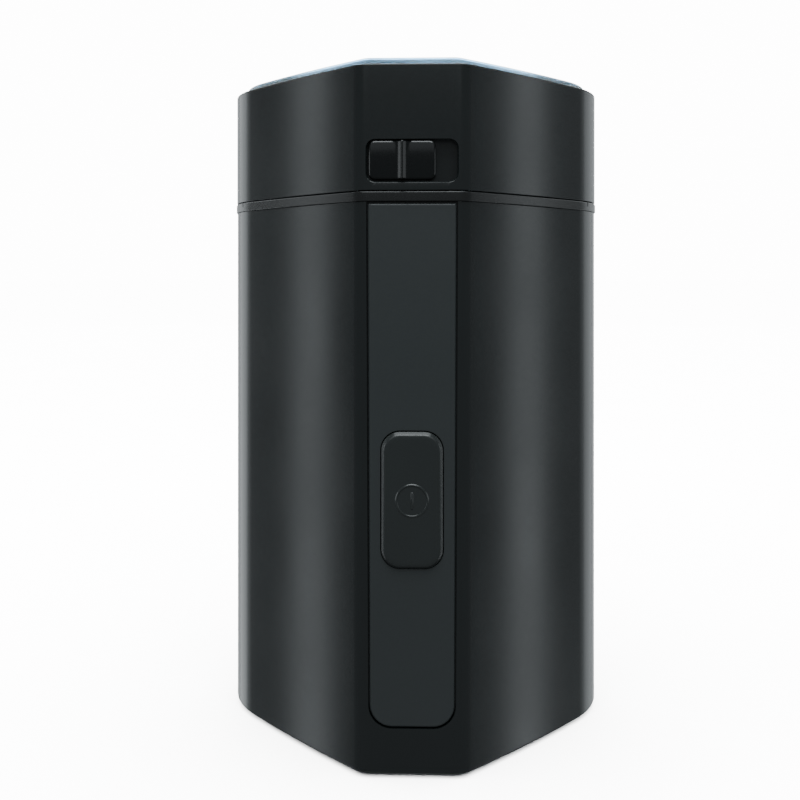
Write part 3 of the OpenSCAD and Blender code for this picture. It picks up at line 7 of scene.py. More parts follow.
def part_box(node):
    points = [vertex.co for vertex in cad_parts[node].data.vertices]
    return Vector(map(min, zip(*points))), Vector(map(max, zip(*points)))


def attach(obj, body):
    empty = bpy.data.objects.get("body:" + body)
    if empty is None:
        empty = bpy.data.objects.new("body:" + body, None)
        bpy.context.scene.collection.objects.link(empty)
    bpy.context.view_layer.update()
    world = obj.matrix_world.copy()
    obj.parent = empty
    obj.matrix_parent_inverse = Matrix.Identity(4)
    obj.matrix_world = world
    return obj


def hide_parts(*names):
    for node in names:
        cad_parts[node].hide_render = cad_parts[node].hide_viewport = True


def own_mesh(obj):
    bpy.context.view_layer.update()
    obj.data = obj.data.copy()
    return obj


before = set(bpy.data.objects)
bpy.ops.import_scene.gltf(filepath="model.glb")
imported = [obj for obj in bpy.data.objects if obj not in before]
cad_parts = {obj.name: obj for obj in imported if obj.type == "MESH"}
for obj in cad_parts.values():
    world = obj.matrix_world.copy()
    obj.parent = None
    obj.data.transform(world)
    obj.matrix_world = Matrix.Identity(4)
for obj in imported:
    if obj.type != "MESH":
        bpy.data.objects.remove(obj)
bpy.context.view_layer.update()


# ---- Body shell
# One tall injection moulding in black ABS with a fine spark-eroded satin. Its plan is a flat front and
# back, four gently bulged slanting faces and two broad side corners. Screw bosses and a ledge for the
# bowl carrier are moulded inside, and a shallow pocket down the front takes the control strip.
MM = 0.001
collection = bpy.context.scene.collection


class Flow:
    """One socket of a node tree. Plain arithmetic on it writes the maths nodes."""

    def __init__(self, graph, socket):
        self.graph = graph
        self.socket = socket

    def apply(self, operation, other=None, swap=False):
        terms = [self] if other is None else ([other, self] if swap else [self, other])
        flat = all(not isinstance(t, Flow) or t.socket.type != "VECTOR" for t in terms)
        kind = "ShaderNodeMath" if flat else "ShaderNodeVectorMath"
        if not flat:
            terms = [(t, t, t) if isinstance(t, (int, float)) else t for t in terms]
        return self.graph.node(kind, {"operation": operation}, dict(enumerate(terms)))

    def __add__(self, other): return self.apply("ADD", other)
    def __radd__(self, other): return self.apply("ADD", other, True)
    def __sub__(self, other): return self.apply("SUBTRACT", other)
    def __rsub__(self, other): return self.apply("SUBTRACT", other, True)
    def __mul__(self, other): return self.apply("MULTIPLY", other)
    def __rmul__(self, other): return self.apply("MULTIPLY", other, True)
    def __truediv__(self, other): return self.apply("DIVIDE", other)
    def __pow__(self, other): return self.apply("POWER", other)
    def __mod__(self, other): return self.apply("MODULO", other)
    def __lt__(self, other): return self.apply("LESS_THAN", other)
    def __gt__(self, other): return self.apply("GREATER_THAN", other)
    def output(self, name): return Flow(self.graph, self.socket.node.outputs[name])


class Graph:
    """Writes a node tree, for a shape or for a finish. Every node comes from node()."""

    def __init__(self, tree):
        self.tree = tree

    def node(self, kind, settings=None, sockets=None):
        made = self.tree.nodes.new(kind)
        for name, value in (settings or {}).items():
            setattr(made, name, value)
        for key, value in (sockets or {}).items():
            shown = [s for s in made.inputs if s.name == key and s.enabled]
            socket = made.inputs[key] if isinstance(key, int) else shown[0]
            if isinstance(value, Flow):
                self.tree.links.new(value.socket, socket)
            elif socket.type == "RGBA" and len(value) == 3:
                socket.default_value = (*value, 1)
            else:
                socket.default_value = value
        shown = [s for s in made.outputs if s.enabled]
        return Flow(self, shown[0]) if shown else made

    def split(self, vector):
        parts = self.node("ShaderNodeSeparateXYZ", {}, {"Vector": vector})
        return [parts.output(axis) for axis in "XYZ"]

    def blend(self, mask, first, second):
        return self.node("ShaderNodeMix", {"data_type": "RGBA"}, {0: mask, 6: first, 7: second})

    def join(self, x, y, z):
        return self.node("ShaderNodeCombineXYZ", {}, {"X": x, "Y": y, "Z": z})


class Shape(Graph):
    """A Geometry Nodes tree with named inputs, which ends in Realize Instances and Set Material."""

    def __init__(self, name, **inputs):
        super().__init__(bpy.data.node_groups.new(name, "GeometryNodeTree"))
        kinds = {int: "NodeSocketInt", float: "NodeSocketFloat", type(None): "NodeSocketObject"}
        self.tree.interface.new_socket("Start", in_out="INPUT", socket_type="NodeSocketGeometry")
        for label, value in inputs.items():
            made = self.tree.interface.new_socket(label.replace("_", " ").title(), in_out="INPUT",
                                                  socket_type=kinds[type(value)])
            if value is not None:
                made.default_value = value
        self.tree.interface.new_socket("Finish", in_out="INPUT", socket_type="NodeSocketMaterial")
        self.tree.interface.new_socket("Shape", in_out="OUTPUT", socket_type="NodeSocketGeometry")
        self.start = self.node("NodeGroupInput")

    def size(self, name):
        return self.start.output(name)

    def end(self, shape):
        real = self.node("GeometryNodeRealizeInstances", {}, {"Geometry": shape})
        last = self.node("GeometryNodeSetMaterial", {}, {"Geometry": real, "Material": self.size("Finish")})
        self.tree.links.new(last.socket, self.tree.nodes.new("NodeGroupOutput").inputs["Shape"])
        return self

    def grow(self, name, start, finish, **sizes):
        """Runs the tree once on a starting mesh and keeps the result as a plain mesh."""
        holder = linked(name, start)
        modifier = holder.modifiers.new("shape", "NODES")
        modifier.node_group = self.tree
        sizes = {label.replace("_", " ").title(): value for label, value in sizes.items()}
        sizes["Finish"] = finish
        for item in self.tree.interface.items_tree:
            if item.in_out == "INPUT" and item.name in sizes:
                modifier[item.identifier] = sizes[item.name]
        settled(holder)
        return dressed(holder, finish)


def linked(name, data):
    """A new object in the scene."""
    piece = bpy.data.objects.new(name, data)
    collection.objects.link(piece)
    return piece


def dressed(piece, finish):
    """Gives a piece one finish all over."""
    piece.data.materials.clear()
    piece.data.materials.append(finish)
    for face in piece.data.polygons:
        face.material_index = 0
    return piece


def settled(piece):
    """Keeps what the modifiers make as a plain mesh, and takes the modifiers off."""
    graph = bpy.context.evaluated_depsgraph_get()
    mesh = bpy.data.meshes.new_from_object(piece.evaluated_get(graph), preserve_all_data_layers=True,
                                           depsgraph=graph)
    piece.modifiers.clear()
    piece.data = mesh
    return piece


def mended(piece, gap=1e-7, crease=30):
    """Joins doubled points, drops what has no area, turns the faces outwards and shades smoothly up to a
    crease angle."""
    work = bmesh.new()
    work.from_mesh(piece.data)
    bmesh.ops.remove_doubles(work, verts=work.verts, dist=gap)
    bmesh.ops.dissolve_degenerate(work, edges=work.edges, dist=gap)
    bmesh.ops.delete(work, geom=[e for e in work.edges if not e.link_faces], context="EDGES")
    bmesh.ops.recalc_face_normals(work, faces=work.faces)
    work.to_mesh(piece.data)
    work.free()
    piece.data.shade_smooth()
    piece.data.set_sharp_from_angle(angle=math.radians(crease))
    return piece


def weighted(piece):
    """Lets the flat faces keep their flatness where they meet a rounded edge."""
    shade = piece.modifiers.new("shade", "WEIGHTED_NORMAL")
    shade.weight = 100
    shade.keep_sharp = True
    return settled(piece)


def mesh_of(name, points, edges=(), faces=()):
    """A mesh from points in metres."""
    mesh = bpy.data.meshes.new(name)
    mesh.from_pydata(points, edges, faces)
    return mesh


def made(name, points, faces, finish=None):
    """A piece from points in millimetres."""
    mesh = mesh_of(name, [Vector(p) * MM for p in points], (), faces)
    if finish:
        mesh.materials.append(finish)
    return linked(name, mesh)


def skin(rings, count):
    """The faces between rings of count points each."""
    return [(i * count + k, i * count + (k + 1) % count, (i + 1) * count + (k + 1) % count, (i + 1) * count + k)
            for i in range(rings - 1) for k in range(count)]


def lofted(name, rings, finish=None):
    """A closed skin through rings of points, with a flat cap at each end."""
    count = len(rings[0])
    points = [p for ring in rings for p in ring]
    caps = [tuple(range(count - 1, -1, -1)), tuple(range(len(points) - count, len(points)))]
    return mended(made(name, points, skin(len(rings), count) + caps, finish))


def outline(corners, radii, grow=0.0, steps=8):
    """A convex plan, counter-clockwise, moved outwards by grow, with an arc in each corner."""
    corners = [Vector(c) for c in corners]
    plan = []
    for i, radius in enumerate(radii):
        before = (corners[i] - corners[i - 1]).normalized()
        after = (corners[(i + 1) % len(corners)] - corners[i]).normalized()
        turn = before.angle(after)
        reach = max(radius + grow, 0)
        inward = (after - before).normalized() * (reach - grow) / math.cos(turn / 2)
        start = math.atan2(-before.x, before.y)
        for k in range(steps + 1):
            a = start + turn * k / steps
            plan.append((corners[i].x + inward.x + reach * math.cos(a), corners[i].y + inward.y + reach * math.sin(a)))
    return plan


def rounded(half, low, high, radius, grow=0.0, steps=8):
    """The outline of an upright box with round corners."""
    return outline([(-half, low), (half, low), (half, high), (-half, high)], (radius,) * 4, grow, steps)


def cut(piece, *tools, operation="DIFFERENCE"):
    """Cuts tools out of a piece, or joins them to it, and removes them."""
    for tool in tools:
        dressed(tool, piece.data.materials[0])
        step = piece.modifiers.new("cut", "BOOLEAN")
        step.operation = operation
        step.solver = "EXACT"
        step.object = tool
        settled(piece)
        bpy.data.objects.remove(tool)
    return piece


def block(name, low, high):
    return lofted(name, [[(low[0], low[1], z), (high[0], low[1], z), (high[0], high[1], z), (low[0], high[1], z)]
                         for z in (low[2], high[2])])


def arc(centre, radius, start, end, steps):
    """Points of an arc in a profile, with its angles in degrees."""
    angles = [math.radians(start + (end - start) * k / steps) for k in range(steps + 1)]
    return [(centre[0] + radius * math.cos(a), centre[1] + radius * math.sin(a)) for a in angles]


def turned(name, profile, finish=None, steps=64, place=(0, 0, 0), axis="Z"):
    """Turns a profile of (radius, height) round an axis through place."""
    points, faces, count = [], [], len(profile)
    for i in range(steps):
        a = 2 * math.pi * i / steps
        for radius, height in profile:
            spot = Vector((radius * math.cos(a), radius * math.sin(a), height))
            if axis == "Y":
                spot = Vector((spot.x, spot.z, -spot.y))
            points.append(spot + Vector(place))
    for i in range(steps):
        here, there = i * count, (i + 1) % steps * count
        faces += [(here + k, there + k, there + (k + 1) % count, here + (k + 1) % count) for k in range(count)]
    return mended(made(name, points, faces, finish))


def plug(name, radius, low, high, steps, place=(0, 0, 0), axis="Z"):
    return turned(name, [(0, low), (radius, low), (radius, high), (0, high)], None, steps, place, axis)


def wall_tree():
    """Sweeps a profile round the grinder's plan. A profile point holds an inset from the outside as x,
    and a height as z. Where its y is above 0, it lies on a circle of that radius instead."""
    g = Shape("wall_round_the_plan", front_reach=0.05, face_reach=0.045, face_radius=0.36, front_corner=0.006,
              side_corner=0.026, flat_steps=6, corner_steps=8, face_steps=22, side_steps=20)
    front, face, bulge = g.size("Front Reach"), g.size("Face Reach"), g.size("Face Radius")
    tight, broad = g.size("Front Corner"), g.size("Side Corner")
    n0, n1, n2, n3 = g.size("Flat Steps"), g.size("Corner Steps"), g.size("Face Steps"), g.size("Side Steps")
    middle_x = (face - bulge) * math.sqrt(0.5)
    middle_y = middle_x * -1
    tight_y = tight - front
    tight_x = middle_x + ((bulge - tight) ** 2 - (tight_y - middle_y) ** 2) ** 0.5
    broad_x = middle_x + ((bulge - broad) ** 2 - middle_y ** 2) ** 0.5
    turn_front = (tight_y - middle_y).apply("ARCTAN2", tight_x - middle_x)
    turn_side = (middle_y * -1).apply("ARCTAN2", broad_x - middle_x)

    count = g.node("GeometryNodeAttributeDomainSize", {"component": "MESH"}, {"Geometry": g.size("Start")})
    per_quarter = n0 + n1 + n2 + n3 + 1
    round_count = per_quarter * 4
    grid = g.node("GeometryNodeMeshGrid", {}, {"Vertices X": count + 1, "Vertices Y": round_count + 1})
    index = g.node("GeometryNodeInputIndex")
    row = (index / (round_count + 1)).apply("FLOOR")
    step = (index - row * (round_count + 1)) % round_count
    quarter = (step / per_quarter).apply("FLOOR")
    along = step - quarter * per_quarter
    along = along + (quarter % 2) * (per_quarter - 1 - 2 * along)
    flat_share = (along / n0).apply("MINIMUM", 1.0)
    along = (along - n0).apply("MAXIMUM", 0.0)
    in_front, in_side = along < n1, along > n1 + n2
    on_face = 1 - in_front - in_side
    angle = in_front * (turn_front * along / n1 - (n1 - along) / n1 * (math.pi / 2)) \
        + on_face * (turn_front + (turn_side - turn_front) * (along - n1) / n2) \
        + in_side * (turn_side * (n1 + n2 + n3 - along) / n3)
    centre_x = in_front * tight_x * flat_share + on_face * middle_x + in_side * broad_x
    centre_y = in_front * tight_y + on_face * middle_y
    radius = in_front * tight + on_face * bulge + in_side * broad

    profile = g.node("GeometryNodeSampleIndex", {"data_type": "FLOAT_VECTOR"}, {
        "Geometry": g.size("Start"), "Value": g.node("GeometryNodeInputPosition"), "Index": row % count})
    inset, circle, height = g.split(profile)
    cos, sin = angle.apply("COSINE"), angle.apply("SINE")
    plain = (centre_x + radius * cos) ** 2 + (centre_y + radius * sin) ** 2
    to_circle = circle / plain ** 0.5
    is_round = circle > 0
    x = (1 - is_round) * (centre_x + (radius - inset) * cos) + is_round * to_circle * (centre_x + radius * cos)
    y = (1 - is_round) * (centre_y + (radius - inset) * sin) + is_round * to_circle * (centre_y + radius * sin)
    right = 1 - 2 * (quarter > 1.5)
    back = 2 * (quarter > 0.5) * (quarter < 2.5) - 1
    place = g.join(x * right, y * back, height)
    return g.end(g.node("GeometryNodeSetPosition", {}, {"Geometry": grid.output("Mesh"), "Position": place}))


wall_round_the_plan = wall_tree()
shell_low, shell_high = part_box("body_shell")
front_reach = -shell_low.y
face_reach = 0.905 * front_reach
face_radius = 7.45 * front_reach
front_corner_r = 0.124 * front_reach
side_corner_r = 0.538 * front_reach


def walled(name, profile, finish):
    """One moulding swept round the plan, from a closed profile of (inset, height) or (inset, height, radius)."""
    start = mesh_of(name, [(p[0] * MM, (p[2] if len(p) > 2 else 0) * MM, p[1] * MM) for p in profile])
    piece = wall_round_the_plan.grow(name, start, finish, front_reach=front_reach, face_reach=face_reach,
                                     face_radius=face_radius, front_corner=front_corner_r,
                                     side_corner=side_corner_r)
    return mended(piece)


class Finish(Graph):
    """A material. Its steady values sit on the shader's own sockets, and its patterns follow the object."""

    def __init__(self, name, **steady):
        self.material = bpy.data.materials.new(name)
        self.material.use_nodes = True
        self.material.node_tree.nodes.clear()
        super().__init__(self.material.node_tree)
        self.place = self.node("ShaderNodeTexCoord").output("Object")
        self.shader = self.node("ShaderNodeBsdfPrincipled")
        for label, value in steady.items():
            socket = self.shader.socket.node.inputs[label.replace("_", " ")]
            socket.default_value = (*value, 1) if isinstance(value, tuple) and len(value) == 3 else value
        self.node("ShaderNodeOutputMaterial", {}, {"Surface": self.shader})

    def feed(self, **varying):
        for label, value in varying.items():
            self.tree.links.new(value.socket, self.shader.socket.node.inputs[label.replace("_", " ")])
        return self.material

    def noise(self, scale, detail=2.0, stretch=(1, 1, 1)):
        place = self.place if stretch == (1, 1, 1) else self.node(
            "ShaderNodeMapping", {}, {"Vector": self.place, "Scale": stretch})
        return self.node("ShaderNodeTexNoise", {}, {"Vector": place, "Scale": scale, "Detail": detail})

    def spread(self, value, low, high):
        """Takes a pattern's 0.3 to 0.7 to low and high, clamped."""
        return self.node("ShaderNodeMapRange", {}, {
            "Value": value, "From Min": 0.3, "From Max": 0.7, "To Min": low, "To Max": high})

    def bump(self, height, depth, strength=1.0):
        return self.node("ShaderNodeBump", {}, {"Strength": strength, "Distance": depth, "Height": height})

    def dress(self, tone, dark, light, gloss, low, high, relief=None, depth=0.0, strength=1.0):
        """Feeds one pattern to the colour, one to the roughness and one to the bump."""
        varying = {"Normal": self.bump(relief, depth, strength)} if relief else {}
        return self.feed(Base_Color=self.blend(self.spread(tone, 0.0, 1.0), dark, light),
                         Roughness=self.spread(gloss, low, high), **varying)


def moulded(name, dark, light, rough, grain=0.00035, depth=0.000006, **steady):
    """Moulded plastic or rubber: a fine eroded grain, and slow changes of shade and gloss over it."""
    f = Finish(name, IOR=1.5, **steady)
    slow, fine = f.noise(28.0, 3.0), f.noise(1 / grain, 2.0)
    return f.dress(slow * 0.6 + fine * 0.4, dark, light, slow * 0.5 + fine * 0.5, rough - 0.04, rough + 0.05,
                   fine, depth)


def placed(piece, slot, body, *nodes):
    """Sets a piece on the body it rides on and hides the CAD nodes it stands for. The slot is not used."""
    if nodes:
        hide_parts(*nodes)
    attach(piece, body)
    return piece


housing_plastic = moulded("housing_satin_abs", (0.0132, 0.0160, 0.0165), (0.0153, 0.0184, 0.019), 0.17)

# Heights and reaches of the shell, in millimetres
SHELL_BOTTOM, DECK, DECK_UNDER, WALL = 1.0, 136.5, 133.3, 2.6
PAD_INNER, STRIP_BACK, FRONT = -43.9, -46.5, -48.3
PAD_LOW, BOSS_TOP, LEDGE_INSET, LEDGE_LOW = 3.4, 21.4, 3.8, 131.6

shell = walled("shell", (
    arc((0.8, SHELL_BOTTOM + 0.8), 0.8, 270, 180, 5)
    + arc((0.25, DECK - 0.25), 0.25, 180, 90, 2)
    + [(WALL - 0.2, DECK), (WALL, DECK - 0.2), (WALL, DECK_UNDER), (LEDGE_INSET, DECK_UNDER),
       (LEDGE_INSET, LEDGE_LOW), (WALL, LEDGE_LOW - 1.2), (WALL, SHELL_BOTTOM + 0.2), (WALL - 0.2, SHELL_BOTTOM)]
), housing_plastic)


def strip_plan(grow):
    corners = [(-10.05, 12.2), (10.05, 12.2), (10.55, 136.05), (-10.55, 136.05)]
    return outline(corners, (5.2, 5.2, 0.45, 0.45), grow)


BUTTON_Z = 65.95


def button_plan(grow):
    return rounded(7.25, BUTTON_Z - 16.1, BUTTON_Z + 16.1, 4.4, grow, 10)


def front_slab(name, plan, stations, finish=None):
    """A plate facing the front, from (grow, depth) stations of a plan."""
    return lofted(name, [[(x, depth, z) for x, z in plan(grow)] for grow, depth in stations], finish)


SCREW_BORE = 1.4


def boss(x, y, low, high, outer, blind):
    """A screw boss along Z, its bore open at one end and blind at the other."""
    far, near = (high, low) if blind > 0 else (low, high)
    return turned("boss", [(0, far), (outer, far), (outer, near), (SCREW_BORE, near), (SCREW_BORE, far - blind),
                           (0, far - blind)], None, 32, (x, y, 0))


SLANTS = [math.radians(45 + 90 * i) for i in range(4)]


def slanted(reach):
    return [(reach * math.cos(a), reach * math.sin(a)) for a in SLANTS]


BASE_SCREW_REACH = 35.5115
CARRIER_BOSS_LOW = 117.3
carrier_places = ((43.3, 0), (-43.3, 0), (8.27, 42.3), (-8.27, 42.3))
bracket_places = ((8, BUTTON_Z + 22.35), (-8, BUTTON_Z - 22.35))
inner = [block("pad", (-13.45, FRONT + WALL - 0.5, PAD_LOW), (13.45, PAD_INNER, DECK - 0.05))]
for a, (x, y) in zip(SLANTS, slanted(BASE_SCREW_REACH)):
    inner.append(boss(x, y, PAD_LOW, BOSS_TOP, 4.0, 3.0))
    rib = block("rib", (2.6, -1, PAD_LOW), (6.9, 1, BOSS_TOP))
    rib.data.transform(Matrix.Rotation(a, 4, "Z") @ Matrix.Translation((BASE_SCREW_REACH * MM, 0, 0)))
    inner.append(rib)
for x, y in carrier_places:
    inner.append(boss(x, y, CARRIER_BOSS_LOW, DECK_UNDER, 3.3, -3.0))
    near, far = (x - 1, y + 2), (x + 1, -FRONT - 1.3)
    if not y:
        near, far = (min(x * 1.05, x * 1.135), -1), (max(x * 1.05, x * 1.135), 1)
    inner.append(block("rib", (*near, CARRIER_BOSS_LOW), (*far, DECK_UNDER)))
for x, z in bracket_places:
    inner.append(turned("post", [(0, -44.4), (3, -44.4), (3, -30.6), (SCREW_BORE, -30.6), (SCREW_BORE, -35.6),
                                 (0, -35.6)], None, 32, (x, 0, z), "Y"))
cut(shell, *inner, operation="UNION")
GLAND_PLACE = (0, 0, 15)
strip_pocket = front_slab("pocket", strip_plan, [(0.3, STRIP_BACK), (0.3, FRONT - 1)])
pocket_top = block("pocket", (-10.85, FRONT - 1, 134), (10.85, STRIP_BACK, DECK + 1))
button_window = front_slab("window", button_plan, [(0.3, PAD_INNER + 1), (0.3, FRONT - 1)])
cut(shell, strip_pocket, pocket_top, button_window, plug("seat", 4.8, 42, 50, 64, GLAND_PLACE, "Y"))
placed(weighted(mended(shell)), "housing_plastic", "housing", "body_shell")


# ---- Control strip
# A separate satin ABS plate, glued and clipped into the pocket down the front. It is a little smoother
# than the shell, its edge is rounded all round, and the button works through the opening in it.
strip_plastic = moulded("strip_smooth_abs", (0.040, 0.0460, 0.0473), (0.0435, 0.050, 0.0513), 0.33, 0.0005, 0.000003)

strip = front_slab("control_strip_plate", strip_plan,
                   [(0, STRIP_BACK)] + arc((-0.6, FRONT + 0.6), 0.6, 0, -90, 5), strip_plastic)
cut(strip, front_slab("window", button_plan, [
    (0.22, STRIP_BACK + 1), (0.22, FRONT + 0.12), (0.26, FRONT + 0.03), (0.34, FRONT), (0.34, FRONT - 1)]))
placed(weighted(mended(strip)), "strip_plastic", "housing", "control_strip")


# ---- Start button
# A tall ABS cap, held from inside by its flange. A wide bevel runs round its face, and an on mark
# stands out of the middle. Pressed against its spring, it drives a stem into the switch behind it.
BUTTON_FRONT = -49.5
button_plastic = moulded("button_smooth_abs", (0.016, 0.0188, 0.0188), (0.019, 0.022, 0.022), 0.22, 0.0005, 0.0000008)

button = front_slab("button_cap", button_plan, [(0, -42.4), (1.4, -42.4), (1.4, -43.6), (0, -43.6)] + [
    (-inset, BUTTON_FRONT + back) for inset, back in (
        (0, 0.84), (0.03, 0.76), (0.52, 0.26), (0.72, 0.12), (1.05, 0.03), (1.6, 0), (4.2, 0))], button_plastic)
cut(button, front_slab("hollow", button_plan, [(-1.6, BUTTON_FRONT + 1.6), (-1.6, -41)]))
stem = turned("stem", [(0, -34.2), (2.3, -34.2), (2.5, -34.4), (2.5, -42.45), (4.5, -42.45), (4.5, -48), (0, -48)],
              None, 32, (0, 0, BUTTON_Z), "Y")
mark_ring = turned("ring", [(radius, BUTTON_FRONT + back) for radius, back in (
    (3.4, 0.1), (3.4, 0), (3.55, -0.15), (3.8, -0.15), (4, 0), (4, 0.1))], None, 72, (0, 0, BUTTON_Z), "Y")


def mark_bar_plan(grow):
    return rounded(0.3, BUTTON_Z - 2, BUTTON_Z + 2, 0.15, grow, 3)


mark_bar = front_slab("bar", mark_bar_plan, [(0, BUTTON_FRONT + 0.1), (0, BUTTON_FRONT), (-0.15, BUTTON_FRONT - 0.15)])
cut(button, stem, mark_ring, mark_bar, operation="UNION")
placed(weighted(mended(button)), "strip_plastic", "button", "start_button")


# ---- Start switch
# A sealed momentary switch behind the button, held by a plate and two small screws on posts inside the
# shell. The button's return spring stands between a boss on the button's stem and the switch.
def metal(name, dark, light, rough, pitch=0.0002, depth=0.000002, lines=(1, 1, 1)):
    """Metal with fine marks. lines stretches them along one or two axes, as drawing or grinding leaves them."""
    f = Finish(name, Metallic=1.0)
    slow, fine = f.noise(45.0, 3.0), f.noise(1 / pitch, 2.0, lines)
    marks = slow * 0.4 + fine * 0.6
    return f.dress(marks, dark, light, marks, rough - 0.05, rough + 0.08, fine, depth)


def copied(name, node, finish):
    """A copy of a CAD node's own shape, joined up."""
    return dressed(mended(linked(name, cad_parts[node].data.copy()), 2e-6), finish)


def finished(node, name, finish, slot, edge=0.0, steps=2, body="housing"):
    """The CAD node's own shape. Its edges are rounded over by a small radius, as a mould leaves them, and its
    curves are shaded as curves."""
    piece = copied(name, node, finish)
    work = bmesh.new()
    work.from_mesh(piece.data)
    bmesh.ops.dissolve_limit(work, angle_limit=math.radians(0.5), verts=work.verts, edges=work.edges)
    work.to_mesh(piece.data)
    work.free()
    if edge:
        bevel = piece.modifiers.new("edge", "BEVEL")
        bevel.width, bevel.segments = edge * MM, steps
        bevel.limit_method, bevel.angle_limit = "ANGLE", math.radians(35)
        settled(piece)
    return placed(weighted(mended(piece)), slot, body, node)


switch_plastic = moulded("switch_ivory_nylon", (0.55, 0.53, 0.46), (0.62, 0.60, 0.53), 0.42)
inner_plastic = moulded("inner_dark_nylon", (0.035, 0.037, 0.039), (0.048, 0.050, 0.052), 0.52, 0.0006, 0.00001)
spring_steel = metal("spring_wire_steel", (0.42, 0.42, 0.43), (0.58, 0.58, 0.60), 0.28)
screw_steel = metal("screw_zinc_plate", (0.50, 0.51, 0.53), (0.64, 0.65, 0.67), 0.30, 0.0004)

finished("start_switch", "start_switch_case", switch_plastic, "switch_plastic", 0.35)
finished("switch_bracket", "switch_plate", inner_plastic, "inner_plastic", 0.2)


def wire_tree():
    """Runs a round wire along every polyline of the start mesh."""
    g = Shape("wire_along_a_path", wire_radius=0.0003, sides=8)
    path = g.node("GeometryNodeMeshToCurve", {}, {"Mesh": g.size("Start")})
    section = g.node("GeometryNodeCurvePrimitiveCircle", {"mode": "RADIUS"},
                     {"Resolution": g.size("Sides"), "Radius": g.size("Wire Radius")})
    wire = g.node("GeometryNodeCurveToMesh", {}, {"Curve": path, "Profile Curve": section, "Fill Caps": True})
    return g.end(wire)


wire_along_a_path = wire_tree()


def wired(name, paths, radius, finish, sides=8):
    """Wire along paths of points in millimetres. A path whose ends meet becomes a loop."""
    points, edges = [], []
    for path in paths:
        loop = (Vector(path[0]) - Vector(path[-1])).length < 1e-6
        first, kept = len(points), path[:-1] if loop else path
        points += [Vector(p) * MM for p in kept]
        edges += [(first + k, first + k + 1) for k in range(len(kept) - 1)]
        edges += [(first + len(kept) - 1, first)] if loop else []
    start = mesh_of(name, points, edges)
    return mended(wire_along_a_path.grow(name, start, finish, wire_radius=radius * MM, sides=sides))


def coil(radius, low, high, turns, steps=20):
    """A helix along Z. Three quarters of a turn lie flat at each end, as in a closed and ground spring."""
    path = []
    for k in range(turns * steps + 1):
        a = 2 * math.pi * k / steps
        rise = min(max((k / steps - 0.75) / (turns - 1.5), 0), 1)
        path.append((radius * math.cos(a), radius * math.sin(a), low + (high - low) * rise))
    return path


spring_path = [(x, height, BUTTON_Z - y) for x, y, height in coil(3.5, -42.1, -37.3, 6)]
spring = wired("button_return_spring", [spring_path], 0.3, spring_steel)
placed(spring, "spring_steel", "housing", "button_spring")
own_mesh(spring)


def crossed(piece, half, low, high, first=0):
    """Cuts two crossed slots into a screw's head."""
    for turn in (first, first + 90):
        groove = block("slot", (-half, -0.28, low), (half, 0.28, high))
        groove.data.transform(Matrix.Rotation(math.radians(turn), 4, "Z"))
        cut(piece, groove)
    return mended(piece)


def screw(head_r, head, shank_r, length):
    """Turned in one, with a rounded head and a ring for every turn of the thread."""
    root_r, pitch = shank_r * 0.8, 1.0
    profile = [(0, head - 0.05), (head_r * 0.55, head - 0.05)] + arc((head_r - 0.7, head - 0.75), 0.7, 80, 0, 4)
    profile += [(head_r, 0.05), (head_r - 0.05, 0), (shank_r, 0), (shank_r, -0.8)]
    for k in range(int((length - 2.2) / pitch)):
        z = -0.8 - k * pitch
        profile += [(root_r, z - 0.15 * pitch), (root_r, z - 0.5 * pitch), (shank_r, z - 0.85 * pitch)]
    profile += [(root_r, 1.4 - length), (shank_r * 0.55, -length), (0, -length)]
    return crossed(turned("screw", profile[::-1], screw_steel, 24), head_r * 0.62, head * 0.35, head + 1)


def repeat_tree():
    """Sets a piece on every point of the start mesh, tilted the same way and each turned a little further."""
    g = Shape("repeat_on_points", part=None, tilt=0.0, spin_z=0.0, spin_y=0.0)
    part = g.node("GeometryNodeObjectInfo", {}, {"Object": g.size("Part")})
    index = g.node("GeometryNodeInputIndex")
    turn = g.join(g.size("Tilt"), index * g.size("Spin Y"), index * g.size("Spin Z"))
    return g.end(g.node("GeometryNodeInstanceOnPoints", {}, {
        "Points": g.size("Start"), "Instance": part.output("Geometry"), "Rotation": turn}))


repeat_on_points = repeat_tree()


def repeated(name, part, places, tilt=0.0, spin_z=0.0, spin_y=0.0):
    """Copies of one part, at places in millimetres, as one piece. Angles are in degrees."""
    start = mesh_of(name, [Vector(p) * MM for p in places])
    piece = repeat_on_points.grow(name, start, part.data.materials[0], part=part, tilt=math.radians(tilt),
                                  spin_z=math.radians(spin_z), spin_y=math.radians(spin_y))
    bpy.data.objects.remove(part)
    return mended(piece)


def screws(name, node, kind, length, places, tilt=0.0, spin_z=0.0, spin_y=0.0, body="housing"):
    """A set of one kind of screw, each turned a little further than the one before."""
    placed(repeated(name, screw(*kind, length), places, tilt, spin_z, spin_y), "screw_steel", body, node)


# Kinds of screw, as radius and height of the head and radius of the shank
SMALL_SCREW = (2.2, 1.2, 1.4)
LARGE_SCREW = (2.7, 1.4, 1.4)
screws("switch_plate_screws", "switch_screws", SMALL_SCREW, 5.7, [(x, -28.9, z) for x, z in bracket_places], -90,
       spin_y=37)


# ---- Bowl carrier
# A deck and a cup in one glass-filled nylon moulding, dropped into the shell and held by four screws.
# The bowl hangs in the cup by its flange, and the motor hangs under the cup's floor.
finished("bowl_carrier", "carrier_deck_and_cup", inner_plastic, "inner_plastic")
screws("carrier_deck_screws", "carrier_screws", LARGE_SCREW, 13.6, [(x, y, 134.9) for x, y in carrier_places],
       spin_z=31)


